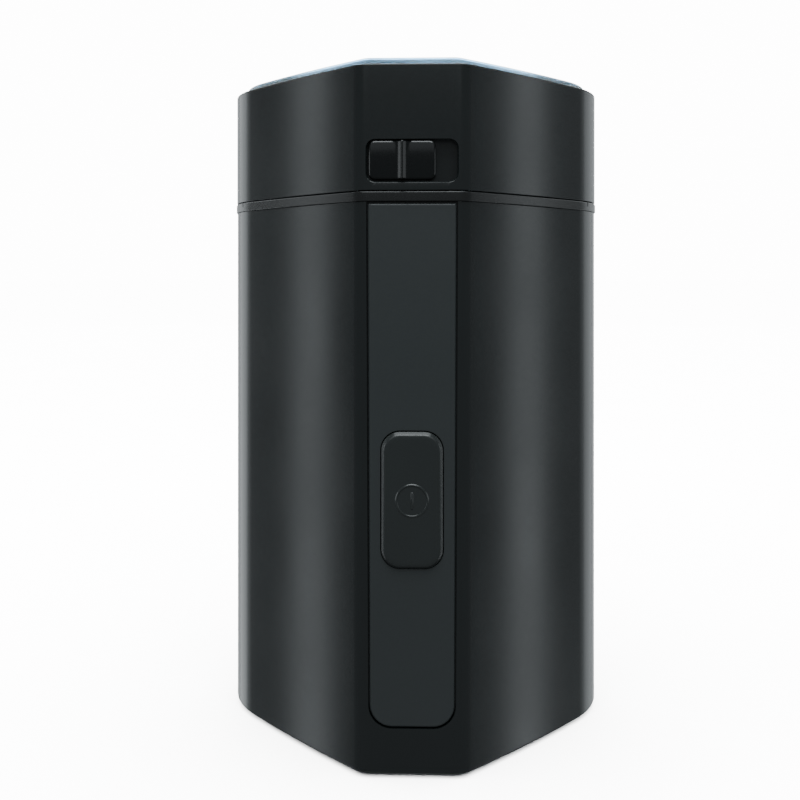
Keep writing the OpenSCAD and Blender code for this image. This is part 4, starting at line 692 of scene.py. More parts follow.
# ---- Interlock
# A second switch under the deck, which only closes when the latch bolt's toe has pushed a nylon pin
# down on it. A light spring lifts the pin again.
PIN_X, PIN_Y = 5, -41.6
finished("interlock_switch", "interlock_switch_case", switch_plastic, "switch_plastic", 0.3)
finished("interlock_pin", "interlock_push_pin", switch_plastic, "switch_plastic", 0.08, body="interlock")
pin_spring = wired("pin_return_spring", [[(PIN_X + x, PIN_Y + y, z) for x, y, z in coil(1.55, 123.1, 127.3, 6, 16)]],
                   0.19, spring_steel)
placed(pin_spring, "spring_steel", "housing", "interlock_spring")
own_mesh(pin_spring)


# ---- End brackets and bearings
# Two die-cast aluminium cups that close the motor, with windows for the cooling air. Each has a sintered
# bronze bearing pressed into its hub.
bracket_alloy = metal("bracket_cast_alloy", (0.40, 0.40, 0.41), (0.50, 0.50, 0.51), 0.46, 0.0007, 0.00002)
bronze = metal("bearing_sintered_bronze", (0.36, 0.22, 0.09), (0.52, 0.33, 0.15), 0.38, 0.0001, 0.000006)
finished("lower_bracket", "lower_end_bracket", bracket_alloy, "bracket_alloy")
finished("upper_bracket", "upper_end_bracket", bracket_alloy, "bracket_alloy")


def chamfered_ring(name, low, high, outer, inner, chamfer, finish):
    profile = [(inner, low + chamfer), (inner + chamfer, low), (outer - chamfer, low), (outer, low + chamfer)]
    profile += [(outer, high - chamfer), (outer - chamfer, high), (inner + chamfer, high), (inner, high - chamfer)]
    return turned(name, profile, finish, 48)


for name, low, high in (("lower", 14, 20.75), ("upper", 86.75, 91.75)):
    bearing = chamfered_ring(f"{name}_bronze_bearing", low, high, 5.5, 2.55, 0.4, bronze)
    placed(bearing, "bronze", "housing", f"{name}_bearing")


# ---- Stator
# Stamped silicon steel sheets, stacked and riveted, with a wound coil of enamelled copper wire round
# each pole. Two long screws go down through the brackets and the stack.
CORE_LOW, CORE_HIGH, SHEETS = 42.0, 72.0, 20


def sheet_steel(name):
    """Oiled electrical steel. Its cut edge shows a line every half millimetre."""
    f = Finish(name, Metallic=1.0)
    line = ((f.split(f.place)[2] / (0.5 * MM)) % 1.0).apply("PINGPONG", 0.5) * 2
    stain = f.noise(120.0, 4.0)
    return f.dress(stain, (0.20, 0.21, 0.23), (0.31, 0.32, 0.34), stain, 0.32, 0.5, line, 0.00003, 0.6)


lamination_steel = sheet_steel("core_silicon_steel")


def stacked(name, node, body):
    """A core of separate sheets, each cut to the outline of the CAD node's stack."""
    pitch = (CORE_HIGH - CORE_LOW) / SHEETS
    sheet = copied("sheet", node, lamination_steel)
    sheet.data.transform(Matrix.Diagonal((1, 1, 0.94 / SHEETS, 1)) @ Matrix.Translation((0, 0, -CORE_LOW * MM)))
    stack = repeated(name, sheet, [(0, 0, CORE_LOW + (k + 0.03) * pitch) for k in range(SHEETS)])
    return placed(stack, "lamination_steel", body, node)


stacked("stator_sheets", "stator_core", "housing")


def enamelled(name):
    """Copper wire under clear amber enamel, a little uneven in tone from turn to turn."""
    f = Finish(name, Metallic=0.9, Coat_Weight=0.6, Coat_Roughness=0.12)
    turn = f.noise(260.0, 2.0, (1, 1, 0.25))
    return f.dress(turn, (0.42, 0.13, 0.04), (0.66, 0.25, 0.09), turn, 0.22, 0.36)


copper_wire = enamelled("winding_enamelled_copper")
COIL_WIDTH, COIL_DEPTH, COIL_RISE = 5.211, 4.396, 6.7
YOKE_REACH, POLE_HALF = 17.795, 9.291


def coil_turns(side):
    """The outer turns of one saddle-shaped field coil: rounded loops round a pole, bent to the yoke."""
    wire, across, deep, loops = 0.31, 8, 7, []
    for i in range(across):
        for j in range(deep):
            if 0 < i < across - 1 and 0 < j < deep - 1:
                continue
            reach = YOKE_REACH + wire + (COIL_DEPTH - 2 * wire) * j / (deep - 1)
            rise = wire + (COIL_RISE - 2 * wire) * i / (across - 1)
            half = POLE_HALF + (wire + (COIL_WIDTH - 2 * wire) * i / (across - 1))
            low, high, corner = CORE_LOW - 0.3 - rise, CORE_HIGH + 0.3 + rise, 0.8 + 3.2 * i / (across - 1)
            plan = rounded(half, low, high, corner, 0.0, 5)
            loop = []
            for k, (x, z) in enumerate(plan):
                loop.append((x, z))
                after = plan[(k + 1) % len(plan)]
                if abs(after[0] - x) > 6:
                    loop += [(x + (after[0] - x) * t / 6, z) for t in range(1, 6)]
            loop = [(x, side * math.sqrt(reach ** 2 - x ** 2), z) for x, z in loop]
            loops.append(loop + [loop[0]])
    return loops


field_wires = wired("field_coil_turns", coil_turns(1) + coil_turns(-1), 0.3, copper_wire, 6)
placed(field_wires, "copper_wire", "housing", "field_coils")
screws("stator_long_screws", "stator_screws", LARGE_SCREW, 38, [(24.745, 0, 76), (-24.745, 0, 76)], spin_z=40)


# ---- Brush gear
# A carbon brush on each side, in a folded brass box. A light spring behind each presses it on the
# commutator, and a moulded cap closes the box.
brush_brass = metal("brush_box_brass", (0.48, 0.34, 0.11), (0.66, 0.49, 0.19), 0.26, 0.0003)
carbon = moulded("brush_electrographite", (0.012, 0.012, 0.013), (0.03, 0.03, 0.032), 0.55, 0.00018, 0.000012)
finished("brush_holders", "brush_boxes", brush_brass, "brush_brass", 0.1, 1)
finished("carbon_brushes", "brush_blocks", carbon, "carbon", 0.15)
finished("brush_caps", "brush_box_caps", inner_plastic, "inner_plastic", 0.4)
brush_coils = [[(side * z, x * side, 30 + y) for x, y, z in coil(2, 18.8, 25.7, 7, 16)] for side in (1, -1)]
placed(wired("brush_push_springs", brush_coils, 0.24, spring_steel), "spring_steel", "housing", "brush_springs")


# ---- Armature
# The turning part: a ground steel shaft, a slotted stack with its windings, the commutator under them
# and the cooling fan on top, all pressed on the shaft. Two thin washers take up the end play.
def ground(name, dark, light, rough, swing, depth, worn=None):
    """Metal turned or ground round the axis, so its marks run round it. worn is the low and high end of a
    track that something rubs on, and its shade."""
    f = Finish(name, Metallic=1.0)
    x, y, z = f.split(f.place)
    rings = f.node("ShaderNodeTexNoise", {}, {
        "Vector": f.join((x * x + y * y) ** 0.5, 0.0, z), "Scale": 5200.0, "Detail": 2.0})
    mask = f.spread(rings * 0.6 + f.noise(90.0, 3.0) * 0.4, 0.0, 1.0)
    tone, gloss = f.blend(mask, dark, light), mask * swing + rough
    if worn:
        track = (z > worn[0] * MM) * (z < worn[1] * MM)
        tone, gloss = f.blend(track * 0.75, tone, worn[2]), gloss + track * 0.08
    return f.feed(Base_Color=tone, Roughness=gloss, Normal=f.bump(rings, depth))


SHAFT_R = 2.5
shaft_steel = ground("shaft_ground_steel", (0.46, 0.46, 0.47), (0.60, 0.60, 0.61), 0.2, 0.12, 0.000002)
shaft = turned("rotor_shaft", [
    (0, 13), (2.2, 13), (SHAFT_R, 13.3), (SHAFT_R, 21.25), (3.1, 21.25), (3.2, 21.35), (3.2, 86.15), (3.1, 86.25),
    (SHAFT_R, 86.25), (SHAFT_R, 105), (SHAFT_R, 108.7), (2.1, 109.1), (0, 109.1)], shaft_steel, 48)
placed(shaft, "shaft_steel", "rotor", "armature_shaft")
stacked("armature_sheets", "armature_core", "rotor")


def joined(piece, *others):
    """Takes other pieces into one, each still a closed body of its own."""
    work = bmesh.new()
    for part in (piece, *others):
        work.from_mesh(part.data)
    work.to_mesh(piece.data)
    work.free()
    for part in others:
        bpy.data.objects.remove(part)
    return mended(piece)


SLOTS, SLOT_REACH, HEAD_REACH = 12, 11.537, 12.75
WIRES_IN_SLOT = ((0.62, 0.55), (-0.62, 0.55), (0.5, -0.62), (-0.5, -0.62))


def winding_turns():
    """Closed coils, from a slot over one end to the fifth slot on, and back under the other end."""
    span, steps, loops = 5, 14, []
    for i in range(SLOTS):
        for w, (dx, dy) in enumerate(WIRES_IN_SLOT):
            a = 2 * math.pi * (i + 0.5) / SLOTS
            b = a + 2 * math.pi * span / SLOTS
            sink, lift = 2.2 + w, 1.1 + 0.85 * (len(WIRES_IN_SLOT) - 1 - w)
            top = []
            for k in range(steps + 1):
                t = k / steps
                ease = math.sin(math.pi * t)
                turn = a + (b - a) * t
                swell = (HEAD_REACH - SLOT_REACH - dx) * min(ease * 2.5, 1) * (1 - t) * t
                reach = SLOT_REACH + dx + swell - sink * ease ** 1.5
                shift = dy * (1 - 2 * t)
                top.append((reach * math.cos(turn) - shift * math.sin(turn),
                            reach * math.sin(turn) + shift * math.cos(turn), ease ** 0.5 * (lift + 0.6)))
            loop = [(x, y, CORE_HIGH + 0.5 + z) for x, y, z in top]
            loop += [(x, y, CORE_LOW - 0.5 - z) for x, y, z in reversed(top)]
            loops.append(loop + [loop[0]])
    return loops


winding = wired("armature_winding_turns", winding_turns(), 0.34, copper_wire, 6)
heads = [chamfered_ring("head", low, low + 2.6, 12.6, 3.6, 0.9, copper_wire) for low in (38.9, 72.4)]
placed(joined(winding, *heads), "copper_wire", "rotor", "armature_windings")

BARS, BAR_R = 24, 9.5
commutator_copper = ground("commutator_turned_copper", (0.52, 0.24, 0.11), (0.70, 0.36, 0.18), 0.18, 0.15,
                           0.000004, (26.4, 33.6, (0.20, 0.085, 0.045)))
bar_half = 180 / BARS - math.degrees(0.2 / BAR_R)
bar_side = arc((0, 0), BAR_R, -bar_half, bar_half, 4)
bar_low = [(x * 8.0 / BAR_R, y * 8.2 / BAR_R) for x, y in bar_side[::-1]]
riser_side = arc((0, 0), 10.69, -bar_half - 0.12, bar_half + 0.12, 4)
bar = lofted("bar", [[(x, y, z) for x, y in side + bar_low] for side, z in (
    ([(x * 0.985, y) for x, y in bar_side], 24.5), (bar_side, 24.75), (bar_side, 35.2), (riser_side, 35.4),
    (riser_side, 36.5))], commutator_copper)
placed(repeated("commutator_bars", bar, [(0, 0, 0)] * BARS, spin_z=360 / BARS), "commutator_copper", "rotor",
       "commutator")
placed(chamfered_ring("commutator_moulded_core", 24.6, 36.4, 8.3, 3.2, 0.3, inner_plastic), "inner_plastic", "rotor")

FAN_LOW, FAN_HIGH, FAN_R, FAN_BLADES = 79.6, 84.6, 20.493, 14
fan = turned("cooling_fan_wheel", [
    (3.2, FAN_LOW), (FAN_R - 0.3, FAN_LOW), (FAN_R, FAN_LOW + 0.3), (FAN_R, FAN_LOW + 1.0),
    (FAN_R - 0.3, FAN_LOW + 1.3), (6.8, FAN_LOW + 1.3), (6.2, FAN_LOW + 1.9), (6.2, FAN_HIGH - 0.3), (5.9, FAN_HIGH),
    (3.2, FAN_HIGH)
], inner_plastic, 96)
vane = lofted("vane", [[(5.8, -h, z), (FAN_R - i, -h, z), (FAN_R - i, h, z), (5.8, h, z)] for h, i, z in (
    (0.65, 0.02, FAN_LOW + 0.9), (0.5, 0.05, FAN_HIGH - 0.25), (0.3, 0.3, FAN_HIGH))], inner_plastic)
vanes = repeated("vanes", vane, [(0, 0, 0)] * FAN_BLADES, spin_z=360 / FAN_BLADES)
cut(fan, vanes, operation="UNION")
placed(mended(fan), "inner_plastic", "rotor", "cooling_fan")

washers = [chamfered_ring("end_washer", low, low + 0.44, 5, SHAFT_R, 0.08, shaft_steel) for low in (20.78, 86.28)]
placed(joined(*washers), "shaft_steel", "rotor", "thrust_washers")


# ---- Motor mounts
# Four soft rubber rings between the motor and the carrier's floor, which keep its hum out of the shell,
# and the screws that go down through them.
foot_rubber = moulded("rubber_matt_black", (0.010, 0.010, 0.0105), (0.016, 0.016, 0.0165), 0.7, 0.0005, 0.00002)
mounts = slanted(20.007)
damper = turned("damper", [(1.6, 0), (3.6, 0), (4, 0.4), (4, 0.9), (3.7, 1.2), (3.7, 1.8), (4, 2.1), (4, 2.6), (3.6, 3),
                           (1.6, 3)], foot_rubber, 32)
placed(repeated("motor_rubber_rings", damper, [(x, y, 90.5) for x, y in mounts]), "foot_rubber", "housing",
       "motor_dampers")
screws("motor_hanging_screws", "motor_screws", LARGE_SCREW, 10.5, [(x, y, 96) for x, y in mounts], spin_z=25)


# ---- Grinding bowl
# Deep-drawn stainless steel, brushed as it spins, with a rolled flange that hangs on the carrier. A
# rubber lip seal in its floor keeps the spice off the bearing.
BOWL_R, BOWL_FLOOR = 35.0, 100.0
bowl_steel = ground("bowl_spun_stainless", (0.50, 0.50, 0.50), (0.63, 0.63, 0.62), 0.24, 0.14, 0.000005)
bowl = turned("spun_bowl", (
    [(4.5, 99), (4.5, BOWL_FLOOR)] + arc((BOWL_R - 8, BOWL_FLOOR + 8), 8, 270, 360, 12)
    + arc((BOWL_R + 1.6, 135.9), 1.6, 180, 90, 6) + arc((38.1, 137.0), 0.5, 90, -90, 6)
    + arc((BOWL_R + 1.8, 135.7), 0.8, 90, 180, 4) + arc((BOWL_R - 8, BOWL_FLOOR + 8), 9, 360, 270, 12)
), bowl_steel, 128)
placed(bowl, "bowl_steel", "housing", "grinding_bowl")
seal_rubber = moulded("seal_red_brown_rubber", (0.10, 0.024, 0.016), (0.14, 0.034, 0.022), 0.5, 0.0004, 0.00001)
lip_seal = turned("bowl_floor_lip_seal", [
    (2.55, 93.5), (6.0, 93.5), (6.4, 93.9), (6.4, 95.2), (6.15, 95.45), (6.15, 96.05), (6.4, 96.3), (6.4, 99),
    (4.5, 99), (4.5, 100), (6.4, 100), (6.1, 100.5), (4.6, 101.0), (3.4, 101.2), (2.9, 101.2),
    (2.55, 100.8)], seal_rubber, 64)
placed(lip_seal, "seal_silicone", "housing", "shaft_seal")


# ---- Blade
# One stamped stainless bar with a raised and a lowered wing, each ground sharp on its leading edge. It
# sits on a moulded hub and is held by a domed nut on the shaft's thread.
BLADE_LOW, BLADE_THICK, WING_RISE, WING_DROP = 104.1, 1.5, 9.0, 2.0
f = Finish("blade_ground_stainless", Metallic=1.0)
strokes, film = f.noise(2600.0, 2.0, (1, 0.04, 1)), f.noise(60.0, 3.0)
blade_steel = f.dress(strokes * 0.5 + film * 0.5, (0.54, 0.54, 0.54), (0.68, 0.68, 0.67), strokes, 0.18, 0.32,
                      strokes, 0.000003)


def between(x, stations):
    for (x0, v0), (x1, v1) in zip(stations, stations[1:]):
        if x <= x1:
            return v0 + (v1 - v0) * (x - x0) / (x1 - x0)
    return stations[-1][1]


TIP, WING_MIDDLE, FLAT = 29, 18.25, 7.5
bends = ((-TIP, -WING_DROP), (-WING_MIDDLE, -WING_DROP * 0.8), (-FLAT, 0), (FLAT, 0),
         (WING_MIDDLE, WING_RISE * 0.45), (TIP, WING_RISE))
ahead = ((-TIP, -3), (-FLAT, -6), (FLAT, -6), (26, -3), (TIP, 2.9))
behind = ((-TIP, -2.9), (-26, 3), (-FLAT, 6), (FLAT, 6), (TIP, 3))
blade_rings = []
half_stations = (6.8, FLAT, 7.9, 8.4, 13, 17.5, WING_MIDDLE, 19, 22, 26, 27.5, TIP - 0.02)
for x in (*[-x for x in reversed(half_stations)], 0, *half_stations):
    low = BLADE_LOW + between(x, bends)
    y0, y1 = between(x, ahead), between(x, behind)
    grind = max(min(max(abs(x) - 9, 0) * 0.8, 2.2, (y1 - y0) * 0.45), 0.02)
    sharp = max(min(max(abs(x) - 9, 0) * 0.5, 1.3), 0.01)
    near, far = (grind, 0.02) if x > 0 else (0.02, grind)
    near_drop, far_drop = (sharp, 0.01) if x > 0 else (0.01, sharp)
    blade_rings.append([(x, y, z) for y, z in (
        (y0, low), (y1, low), (y1, low + BLADE_THICK - far_drop), (y1 - far, low + BLADE_THICK),
        (y0 + near, low + BLADE_THICK), (y0, low + BLADE_THICK - near_drop))])
blade = lofted("two_wing_blade", blade_rings, blade_steel)
cut(blade, plug("bore", SHAFT_R, 100, 108, 48))
placed(weighted(mended(blade, crease=12)), "bowl_steel", "rotor", "blade")

hub = turned("blade_moulded_hub", [
    (SHAFT_R, 101.5), (5.0, 101.5), (5.5, 101.9), (5.5, 102.3), (5.2, 102.6), (5.2, 103.2), (5.5, 103.5),
    (5.5, BLADE_LOW), (SHAFT_R, BLADE_LOW)], inner_plastic, 64)
placed(hub, "inner_plastic", "rotor", "blade_hub")

nut_sides = [[(r * math.cos(math.radians(30 + 60 * k)), r * math.sin(math.radians(30 + 60 * k)), z) for k in range(6)]
             for r, z in ((4.3, 105.6), (4.61, 105.85), (4.61, 108.6))]
nut = lofted("blade_domed_nut", nut_sides, screw_steel)
cut(nut, turned("chamfer", [(4.0, 108.7), (4.62, 108.15), (6, 108.15), (6, 110), (4.0, 110)], None, 64))
cut(nut, turned("dome", [(0, 108), (3.75, 108)] + arc((0, 105.46), 4.14, 40, 90, 8), None, 64), operation="UNION")
cut(nut, plug("bore", SHAFT_R, 105, 109.1, 48))
placed(weighted(mended(nut)), "screw_steel", "rotor", "blade_nut")


# ---- Trim ring
# A dark satin ring that closes the gap between shell and lid. It stands out from both by a hair, with a
# soft upper edge that catches the light. A lip inside keeps the lid in line, and two pairs of small slits
# let the mould part. Its round opening is just wider than the bowl's flange.
RING_TOP, RING_PROUD, LIP_TOP = 138.9, 0.3, 140.5
trim_plastic = moulded("trim_satin_abs", (0.0045, 0.0052, 0.0054), (0.006, 0.0068, 0.007), 0.25, 0.0004, 0.000001,
                       Specular_IOR_Level=0.7)
ring = walled("trim_band", (
    arc((0.2 - RING_PROUD, DECK + 0.2), 0.2, 270, 180, 3)
    + [(-RING_PROUD, RING_TOP - 0.34), (-0.27, RING_TOP - 0.27), (-0.03, RING_TOP - 0.03), (0.04, RING_TOP),
       (3.05, RING_TOP), (3.05, LIP_TOP - 0.2), (3.25, LIP_TOP), (4.15, LIP_TOP), (4.35, LIP_TOP - 0.2),
       (4.35, RING_TOP), (0, RING_TOP, 39.5), (0, RING_TOP - 0.3, 39.2), (0, DECK, 39.2)]
), trim_plastic)
tools = [block("slot", (-6.65, -43.85, 136), (6.45, -41.15, 139.5)),
         block("lip gap", (-16.4, -48.2, RING_TOP + 0.001), (16.4, -24, 141))]
side_centre = shell_high.x / MM - side_corner_r / MM
for side in (1, -1):
    for turn in (32, -32):
        slit = block("slit", (side_corner_r / MM - 0.4, -0.2, RING_TOP - 1.25), (side_corner_r / MM + 0.6, 0.2, 139.4))
        a = math.radians(turn if side > 0 else 180 - turn)
        slit.data.transform(Matrix.Translation((side * side_centre * MM, 0, 0)) @ Matrix.Rotation(a, 4, "Z"))
        tools.append(slit)
cut(ring, *tools)
placed(weighted(mended(ring)), "trim_plastic", "housing", "trim_ring")


# ---- Base
# A screwed base plate in nylon, with slots that let the fan's air in. It carries the suppression
# capacitor between two clips and stands on four rubber feet. The cord gland sits in the shell's back.
finished("base_plate", "base_plate_slotted", inner_plastic, "housing_plastic", 0.12, 1)
screws("base_plate_screws", "base_screws", LARGE_SCREW, 15, [(x, y, 2.4) for x, y in slanted(BASE_SCREW_REACH)], 180,
       spin_z=33)

capacitor_case = moulded("capacitor_ochre_case", (0.50, 0.33, 0.07), (0.58, 0.40, 0.10), 0.28, 0.0006, 0.00001)
finished("suppression_capacitor", "capacitor_moulded_block", capacitor_case, "capacitor_case", 0.5, 3)

foot = turned("foot", [
    (0, 0.25), (1.6, 0.25), (1.8, 0), (2.4, 0), (2.6, 0.25), (3.2, 0.25), (3.4, 0), (4.0, 0), (4.2, 0.25),
    (4.8, 0.25), (5.0, 0), (5.6, 0), (6, 0.4), (6, 1.8), (0, 1.8)], foot_rubber, 48)
feet = repeated("rubber_feet_ringed", foot, [(x, y, 0) for x in (-31.0115, 31.0115) for y in (-15.50575, 15.50575)])
placed(feet, "foot_rubber", "housing", "rubber_feet")

gland = turned("cord_gland_grommet", (
    [(3.7, 43.1), (6.1, 43.1), (6.5, 43.5), (6.5, 45.3), (6.1, 45.7), (4.8, 45.7), (4.8, 48.3), (6.5, 48.3)]
    + arc((5.7, 48.85), 0.8, 0, 90, 5) + arc((3.9, 49.05), 0.6, 90, 180, 4) + [(3.3, 43.5)]
), foot_rubber, 64, GLAND_PLACE, "Y")
placed(gland, "foot_rubber", "housing", "cord_gland")


# ---- Lid shell
# The lid's wall, moulded from the shell's ABS and standing a hair outside it. A deck near the top holds
# the window's collar, and the thick pad inside the front carries the latch, which slides in a recess.
LID_BOTTOM, LID_TOP, LID_PROUD, WINDOW_SEAT = 139.08, 169.05, 0.15, 167.05
LID_FRONT, LID_PAD_INNER = -48.45, -43.85
RECESS_FLOOR, RECESS_MID = -45.45, 146.25
GUIDE_SCREW_X = (-12.2, 12.2)

lid = walled("lid_wall", (
    arc((0, LID_BOTTOM + LID_PROUD), LID_PROUD, 270, 180, 3)
    + arc((0.45 - LID_PROUD, LID_TOP - 0.45), 0.45, 180, 90, 4)
    + [(2.45, LID_TOP), (2.65, LID_TOP - 0.2), (2.65, WINDOW_SEAT), (0, WINDOW_SEAT, 37.6),
       (0, WINDOW_SEAT - 2.1, 37.6), (2.65, WINDOW_SEAT - 2.1), (2.65, LID_BOTTOM + 0.2), (2.45, LID_BOTTOM)]
), housing_plastic)


def recess_plan(grow):
    return rounded(10.75, 141.2, 151.12 - 0.8 * grow, 2, grow)


pad_side = [(-15.4, LID_PAD_INNER), (-15.4, -44.4), (-13.2, -46.6), (13.2, -46.6), (15.4, -44.4), (15.4, LID_PAD_INNER)]
pad = lofted("pad", [[(x, y, z) for x, y in pad_side] for z in (LID_BOTTOM + 0.02, WINDOW_SEAT - 1)])
posts = [plug("post", 2.4, -44.5, -41.15, 32, (x, 0, RECESS_MID), "Y") for x in GUIDE_SCREW_X]
cut(lid, pad, *posts, operation="UNION")
recess = front_slab("recess", recess_plan, [(0, RECESS_FLOOR)] + [(grow, LID_FRONT + back) for grow, back in (
    (0, 0.42), (0.03, 0.36), (0.33, 0.03), (0.4, 0), (0.4, -1))])
neck_slot = block("slot", (-5.65, RECESS_FLOOR - 0.5, RECESS_MID - 2.8), (5.15, LID_PAD_INNER + 0.5, RECESS_MID + 2.8))
bores = [plug("bore", SCREW_BORE, -46.75, -40, 24, (x, 0, RECESS_MID), "Y") for x in GUIDE_SCREW_X]
cut(lid, recess, neck_slot, *bores)
placed(weighted(mended(lid)), "housing_plastic", "lid", "lid_shell")


# ---- Lid window
# A clear moulding let into the top of the lid. Its edge stands above the rim and is a little matt, and a
# round collar under it reaches down to the bowl and carries the seal.
WINDOW_TOP, WINDOW_UNDER, WINDOW_INSET = 171.15, 169.05, 2.85
f = Finish("window_clear_acrylic", IOR=1.49, Transmission_Weight=1.0, Base_Color=(0.93, 0.985, 1.0))
tint = f.node("ShaderNodeVolumeAbsorption", {}, {"Color": (0.5, 0.81, 1.0), "Density": 27.0})
f.tree.links.new(tint.socket, f.tree.nodes["Material Output"].inputs["Volume"])
x, y, z = f.split(f.place)
satin_edge = (z < (WINDOW_TOP - 0.1) * MM) * ((x * x + y * y) ** 0.5 > 40 * MM)
window_clear = f.feed(Roughness=f.spread(f.noise(60.0, 3.0), 0.02, 0.06) + satin_edge * 0.3)

window = walled("clear_window", (
    [(2.95, WINDOW_SEAT)] + arc((WINDOW_INSET + 0.7, WINDOW_TOP - 0.7), 0.7, 180, 90, 5)
    + [(0, WINDOW_TOP, 1e-5), (0, WINDOW_UNDER, 1e-5), (0, WINDOW_UNDER, 35.2), (0, 142.1, 35.2), (0, 141.9, 35.4),
       (0, 141.9, 37), (0, 142.1, 37.2), (0, WINDOW_UNDER, 37.2), (4.95, WINDOW_UNDER), (4.95, WINDOW_SEAT)]
), window_clear)
placed(weighted(mended(window)), "clear_plastic", "lid", "lid_window")
lid_silicone = moulded("lid_seal_silicone", (0.34, 0.35, 0.36), (0.40, 0.41, 0.42), 0.5, 0.0005, 0.000008)
lid_ring = turned("lid_seal_ring", [
    (34.4, 138.4), (34.7, 137.95), (35.3, 137.8), (37.1, 137.8), (37.7, 137.95), (38.0, 138.4), (38.0, 141.9),
    (37.7, 142.2), (37.2, 142.2), (37.2, 141.9), (35.2, 141.9), (35.2, 142.2), (34.7, 142.2), (34.4, 141.9),
    (34.4, 140.6), (34.7, 140.3), (34.7, 139.6), (34.4, 139.3)], lid_silicone, 128)
placed(lid_ring, "seal_silicone", "lid", "lid_seal")


# ---- Latch slider
# The thumb slider in the lid's recess, in polished ABS. A ridge with hollow flanks stands between two
# pads that curve back at their upper and lower ends, and a neck behind it reaches the steel bolt.
SLIDER_LEFT, SLIDER_WIDTH, SLIDER_LOW, SLIDER_HIGH, SLIDER_MID = -10.35, 16, 141.6, 150.9, -2.35
SLIDER_RADIUS, SLIDER_FRONT, COLUMNS, CORNER_STEPS = 1.55, -48.42, 24, 6
slider_plastic = moulded("slider_polished_abs", (0.0035, 0.0042, 0.0045), (0.005, 0.0058, 0.006), 0.15, 0.0005,
                         0.000001, Specular_IOR_Level=0.32)


def crown(z):
    t = (z - RECESS_MID) / 4.65
    return (0.32 if t > 0 else 0.12) * t * t


def slider_ring(grow, y):
    """The thumb piece's plan at one depth: up the left side, over the top, down the right and back below."""
    left, right, reach = SLIDER_LEFT - grow, SLIDER_LEFT + SLIDER_WIDTH + grow, SLIDER_RADIUS + grow
    low, high = SLIDER_LOW - grow, SLIDER_HIGH + grow
    side = [(reach - reach * math.sin(math.radians(15 * k)), low + reach - reach * math.cos(math.radians(15 * k)))
            for k in range(CORNER_STEPS + 1)]
    side += [(0, low + reach + (high - low - 2 * reach) * k / 12) for k in range(1, 12)]
    side += [(inset, high + low - z) for inset, z in reversed(side[:CORNER_STEPS + 1])]
    across = [left + reach + (right - left - 2 * reach) * k / COLUMNS for k in range(1, COLUMNS)]
    ring = [(left + inset, z) for inset, z in side] + [(x, high) for x in across]
    ring += [(right - inset, z) for inset, z in reversed(side)] + [(x, low) for x in reversed(across)]
    if y > -47:
        return [(x, y, z) for x, z in ring]
    return [(x, y + crown(z) - 0.6 * max(0, (z - high + reach) / reach) * (y - SLIDER_FRONT), z) for x, z in ring]


rings = [slider_ring(grow, y) for grow, y in (
    (0, -45.75), (0, SLIDER_FRONT + 0.45), (-0.05, SLIDER_FRONT + 0.32), (-0.13, SLIDER_FRONT + 0.24),
    (-0.44, SLIDER_FRONT + 0.03), (-0.54, SLIDER_FRONT))]
count = len(rings[0])
rows = count // 2 - COLUMNS + 1
points = [p for ring in rings for p in ring]
faces = skin(len(rings), count) + [tuple(range(count))]
# The front is a grid between the last ring's left and right sides, so that it can follow the crown.
last = (len(rings) - 1) * count
grid = []
for j in range(rows):
    right_end = last + 2 * rows + COLUMNS - 2 - j
    row = [last + j]
    for k in range(1, COLUMNS):
        if j in (0, rows - 1):
            row.append(last + rows + k - 1 if j else last + count - k)
        else:
            row.append(len(points))
            (x, y, z), far = points[last + j], points[right_end]
            points.append((x + (far[0] - x) * k / COLUMNS, y, z))
    grid.append(row + [right_end])
faces += [(grid[j][k], grid[j][k + 1], grid[j + 1][k + 1], grid[j + 1][k])
          for j in range(rows - 1) for k in range(COLUMNS)]
slider = mended(made("slider_thumb", points, faces, slider_plastic))
FLANK_R, FLANK_TILT = 3.1, math.radians(47)
flank = [(0.22 + FLANK_R * (math.sin(FLANK_TILT) - math.sin(math.radians(a))),
          -48.1 - FLANK_R * (1 - math.cos(math.radians(a)))) for a in range(0, 48, 6)]
flank += [(0.26, -49.04), (0.18, -49.09)]
ridge_side = [(-2.49, -47)] + [(-x, y) for x, y in flank] + [(x, y) for x, y in reversed(flank)] + [(2.49, -47)]
ridge = lofted("ridge", [[(SLIDER_MID + x, y + back, z) for x, y in ridge_side] for back, z in (
    (0.2, SLIDER_LOW + 0.1), (0, SLIDER_LOW + 0.35), (0, SLIDER_HIGH - 0.35), (0.2, SLIDER_HIGH - 0.1))])
neck = block("neck", (SLIDER_MID - 3, -46, RECESS_MID - 2.5), (SLIDER_MID + 3, -43.55, RECESS_MID + 2.5))
cut(slider, ridge, neck, operation="UNION")
placed(weighted(mended(slider)), "strip_plastic", "latch", "latch_slider")

bolt_steel = metal("latch_stamped_steel", (0.40, 0.41, 0.42), (0.52, 0.53, 0.54), 0.3, lines=(0.05, 1, 1))
finished("latch_bolt", "latch_stamped_bolt", bolt_steel, "shaft_steel", 0.12, 1, "latch")
latch_screw = turned("screw", [(0, -2.1), (1.2, -2.1), (1.4, -1.9), (1.4, 0), (2.65, 0), (2.7, 0.05)]
                     + arc((2.0, 0.65), 0.7, 0, 80, 4) + [(1.5, 1.35), (0, 1.35)], screw_steel, 32)
crossed(latch_screw, 1.7, 0.5, 2, 20)
placed(repeated("latch_neck_screw", latch_screw, [(SLIDER_MID, -41.45, RECESS_MID)], -90), "screw_steel", "latch",
       "latch_screw")
finished("latch_guide", "latch_guide_plate", inner_plastic, "inner_plastic", 0.2, 1, "lid")
finished("detent_spring", "latch_detent_leaf", spring_steel, "spring_steel", 0.04, 1, "lid")
screws("latch_guide_screws", "guide_screws", SMALL_SCREW, 5.7, [(x, -39.75, RECESS_MID) for x in GUIDE_SCREW_X[::-1]],
       -90, spin_y=50, body="lid")


